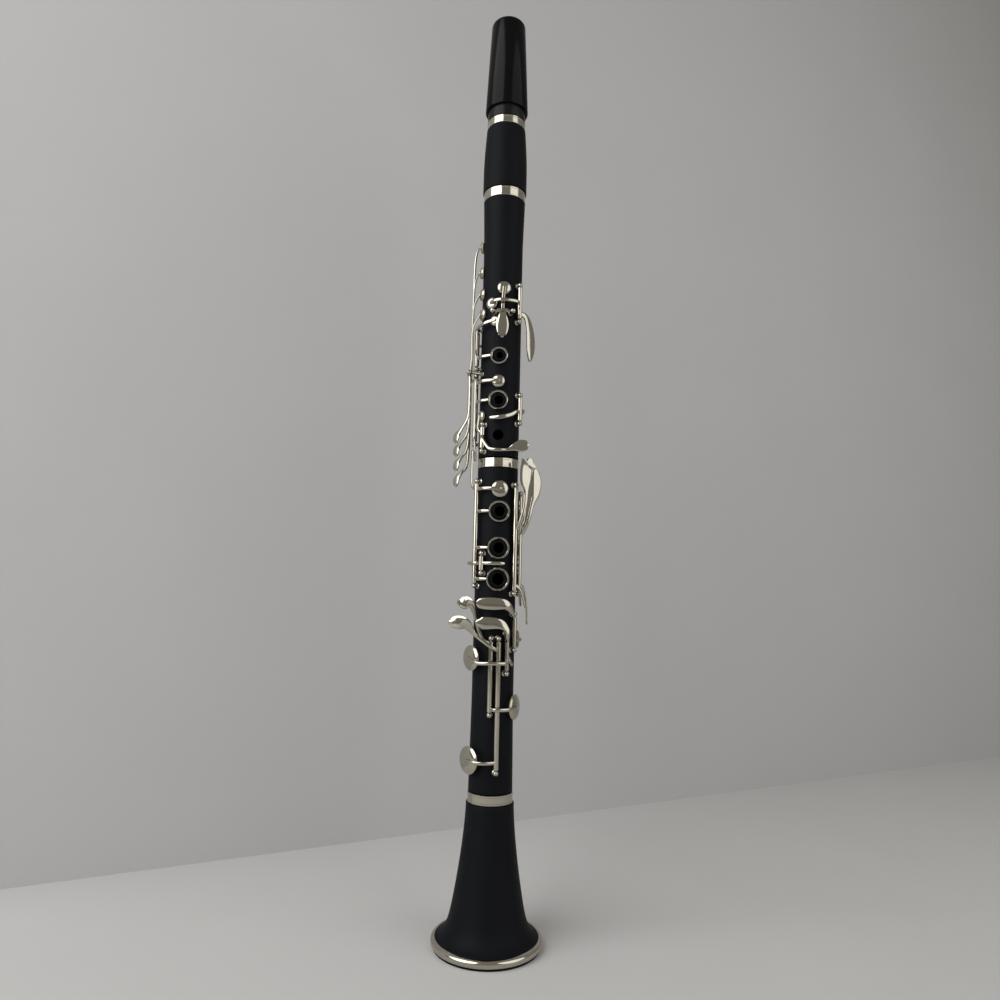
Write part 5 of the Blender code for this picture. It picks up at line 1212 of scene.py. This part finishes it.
def paint(name, dark, light):
    material, shader, place = blank(name)
    mixed(noise(place, (7, 7, 7), 3), dark, light).feed(shader, "Base Color")
    shader.inputs["Roughness"].default_value = 0.9
    shader.inputs["Specular IOR Level"].default_value = 0.1
    return material


bpy.ops.object.select_all(action="DESELECT")
bpy.ops.mesh.primitive_plane_add(size=8)
floor = bpy.context.object
floor.name = "floor"
floor.data.materials.append(paint("floor_paint", (0.56, 0.555, 0.55), (0.60, 0.595, 0.59)))
bpy.ops.object.select_all(action="DESELECT")
bpy.ops.mesh.primitive_plane_add(size=2)
wall = bpy.context.object
wall.name = "wall"
turn = Matrix.Rotation(math.radians(WALL_TURN), 4, "Z")
upright = Matrix.Rotation(math.pi / 2, 4, "X")
stand = Matrix.Translation((0, WALL_DISTANCE, 0)) @ turn @ Matrix.Translation(WALL_CENTRE)
wall.data.transform(stand @ upright)
wall_paint = paint("wall_paint", (0.48, 0.48, 0.48), (0.51, 0.51, 0.51))
tree = wall_paint.node_tree
behind = Socket(tree).node("ShaderNodeNewGeometry", output="Backfacing")
one_sided = behind.node("ShaderNodeMixShader", {}, {
    0: behind, 1: Socket(tree, tree.nodes["Principled BSDF"].outputs[0]),
    2: behind.node("ShaderNodeBsdfTransparent")})
one_sided.feed(tree.nodes["Material Output"], "Surface")
wall.data.materials.append(wall_paint)


# The light: one broad soft lamp from the left front, a weaker one from the right, and a pale sky all round.
# The camera stands close and low, as the photograph's does, and looks a little up.
CAMERA_PLACE = (0.002, -0.5425, 0.2398)
CAMERA_PITCH = 6.95
CAMERA_ROLL = 1.39
CAMERA_LENS = 26.88


def lamp(name, place, target, size, power):
    light = bpy.data.lights.new(name, "AREA")
    light.shape = "DISK"
    light.size = size
    light.energy = power
    holder = bpy.data.objects.new(name, light)
    bpy.context.scene.collection.objects.link(holder)
    way = Vector(target) - Vector(place)
    holder.matrix_world = Matrix.Translation(place) @ way.to_track_quat("-Z", "Y").to_matrix().to_4x4()


lamp("broad_lamp", (-1.0, -0.85, 0.95), (0, 0, 0.33), 1.6, 21)
lamp("side_lamp", (1.0, -0.7, 0.7), (0, 0, 0.33), 1.4, 6)
world = bpy.data.worlds.new("soft_room")
world.use_nodes = True
sky = world.node_tree.nodes["Background"]
sky.inputs["Color"].default_value = (0.95, 0.9, 0.82, 1)
sky.inputs["Strength"].default_value = 0.28
bpy.context.scene.world = world

lens = bpy.data.cameras.new("camera")
lens.lens = CAMERA_LENS
lens.sensor_width = 36
lens.clip_start = 0.01
camera = bpy.data.objects.new("camera", lens)
bpy.context.scene.collection.objects.link(camera)
pitch = Matrix.Rotation(math.radians(90 + CAMERA_PITCH), 4, "X")
roll = Matrix.Rotation(math.radians(CAMERA_ROLL), 4, "Z")
camera.matrix_world = Matrix.Translation(CAMERA_PLACE) @ pitch @ roll
bpy.context.scene.camera = camera
bpy.context.scene.view_settings.view_transform = "Standard"
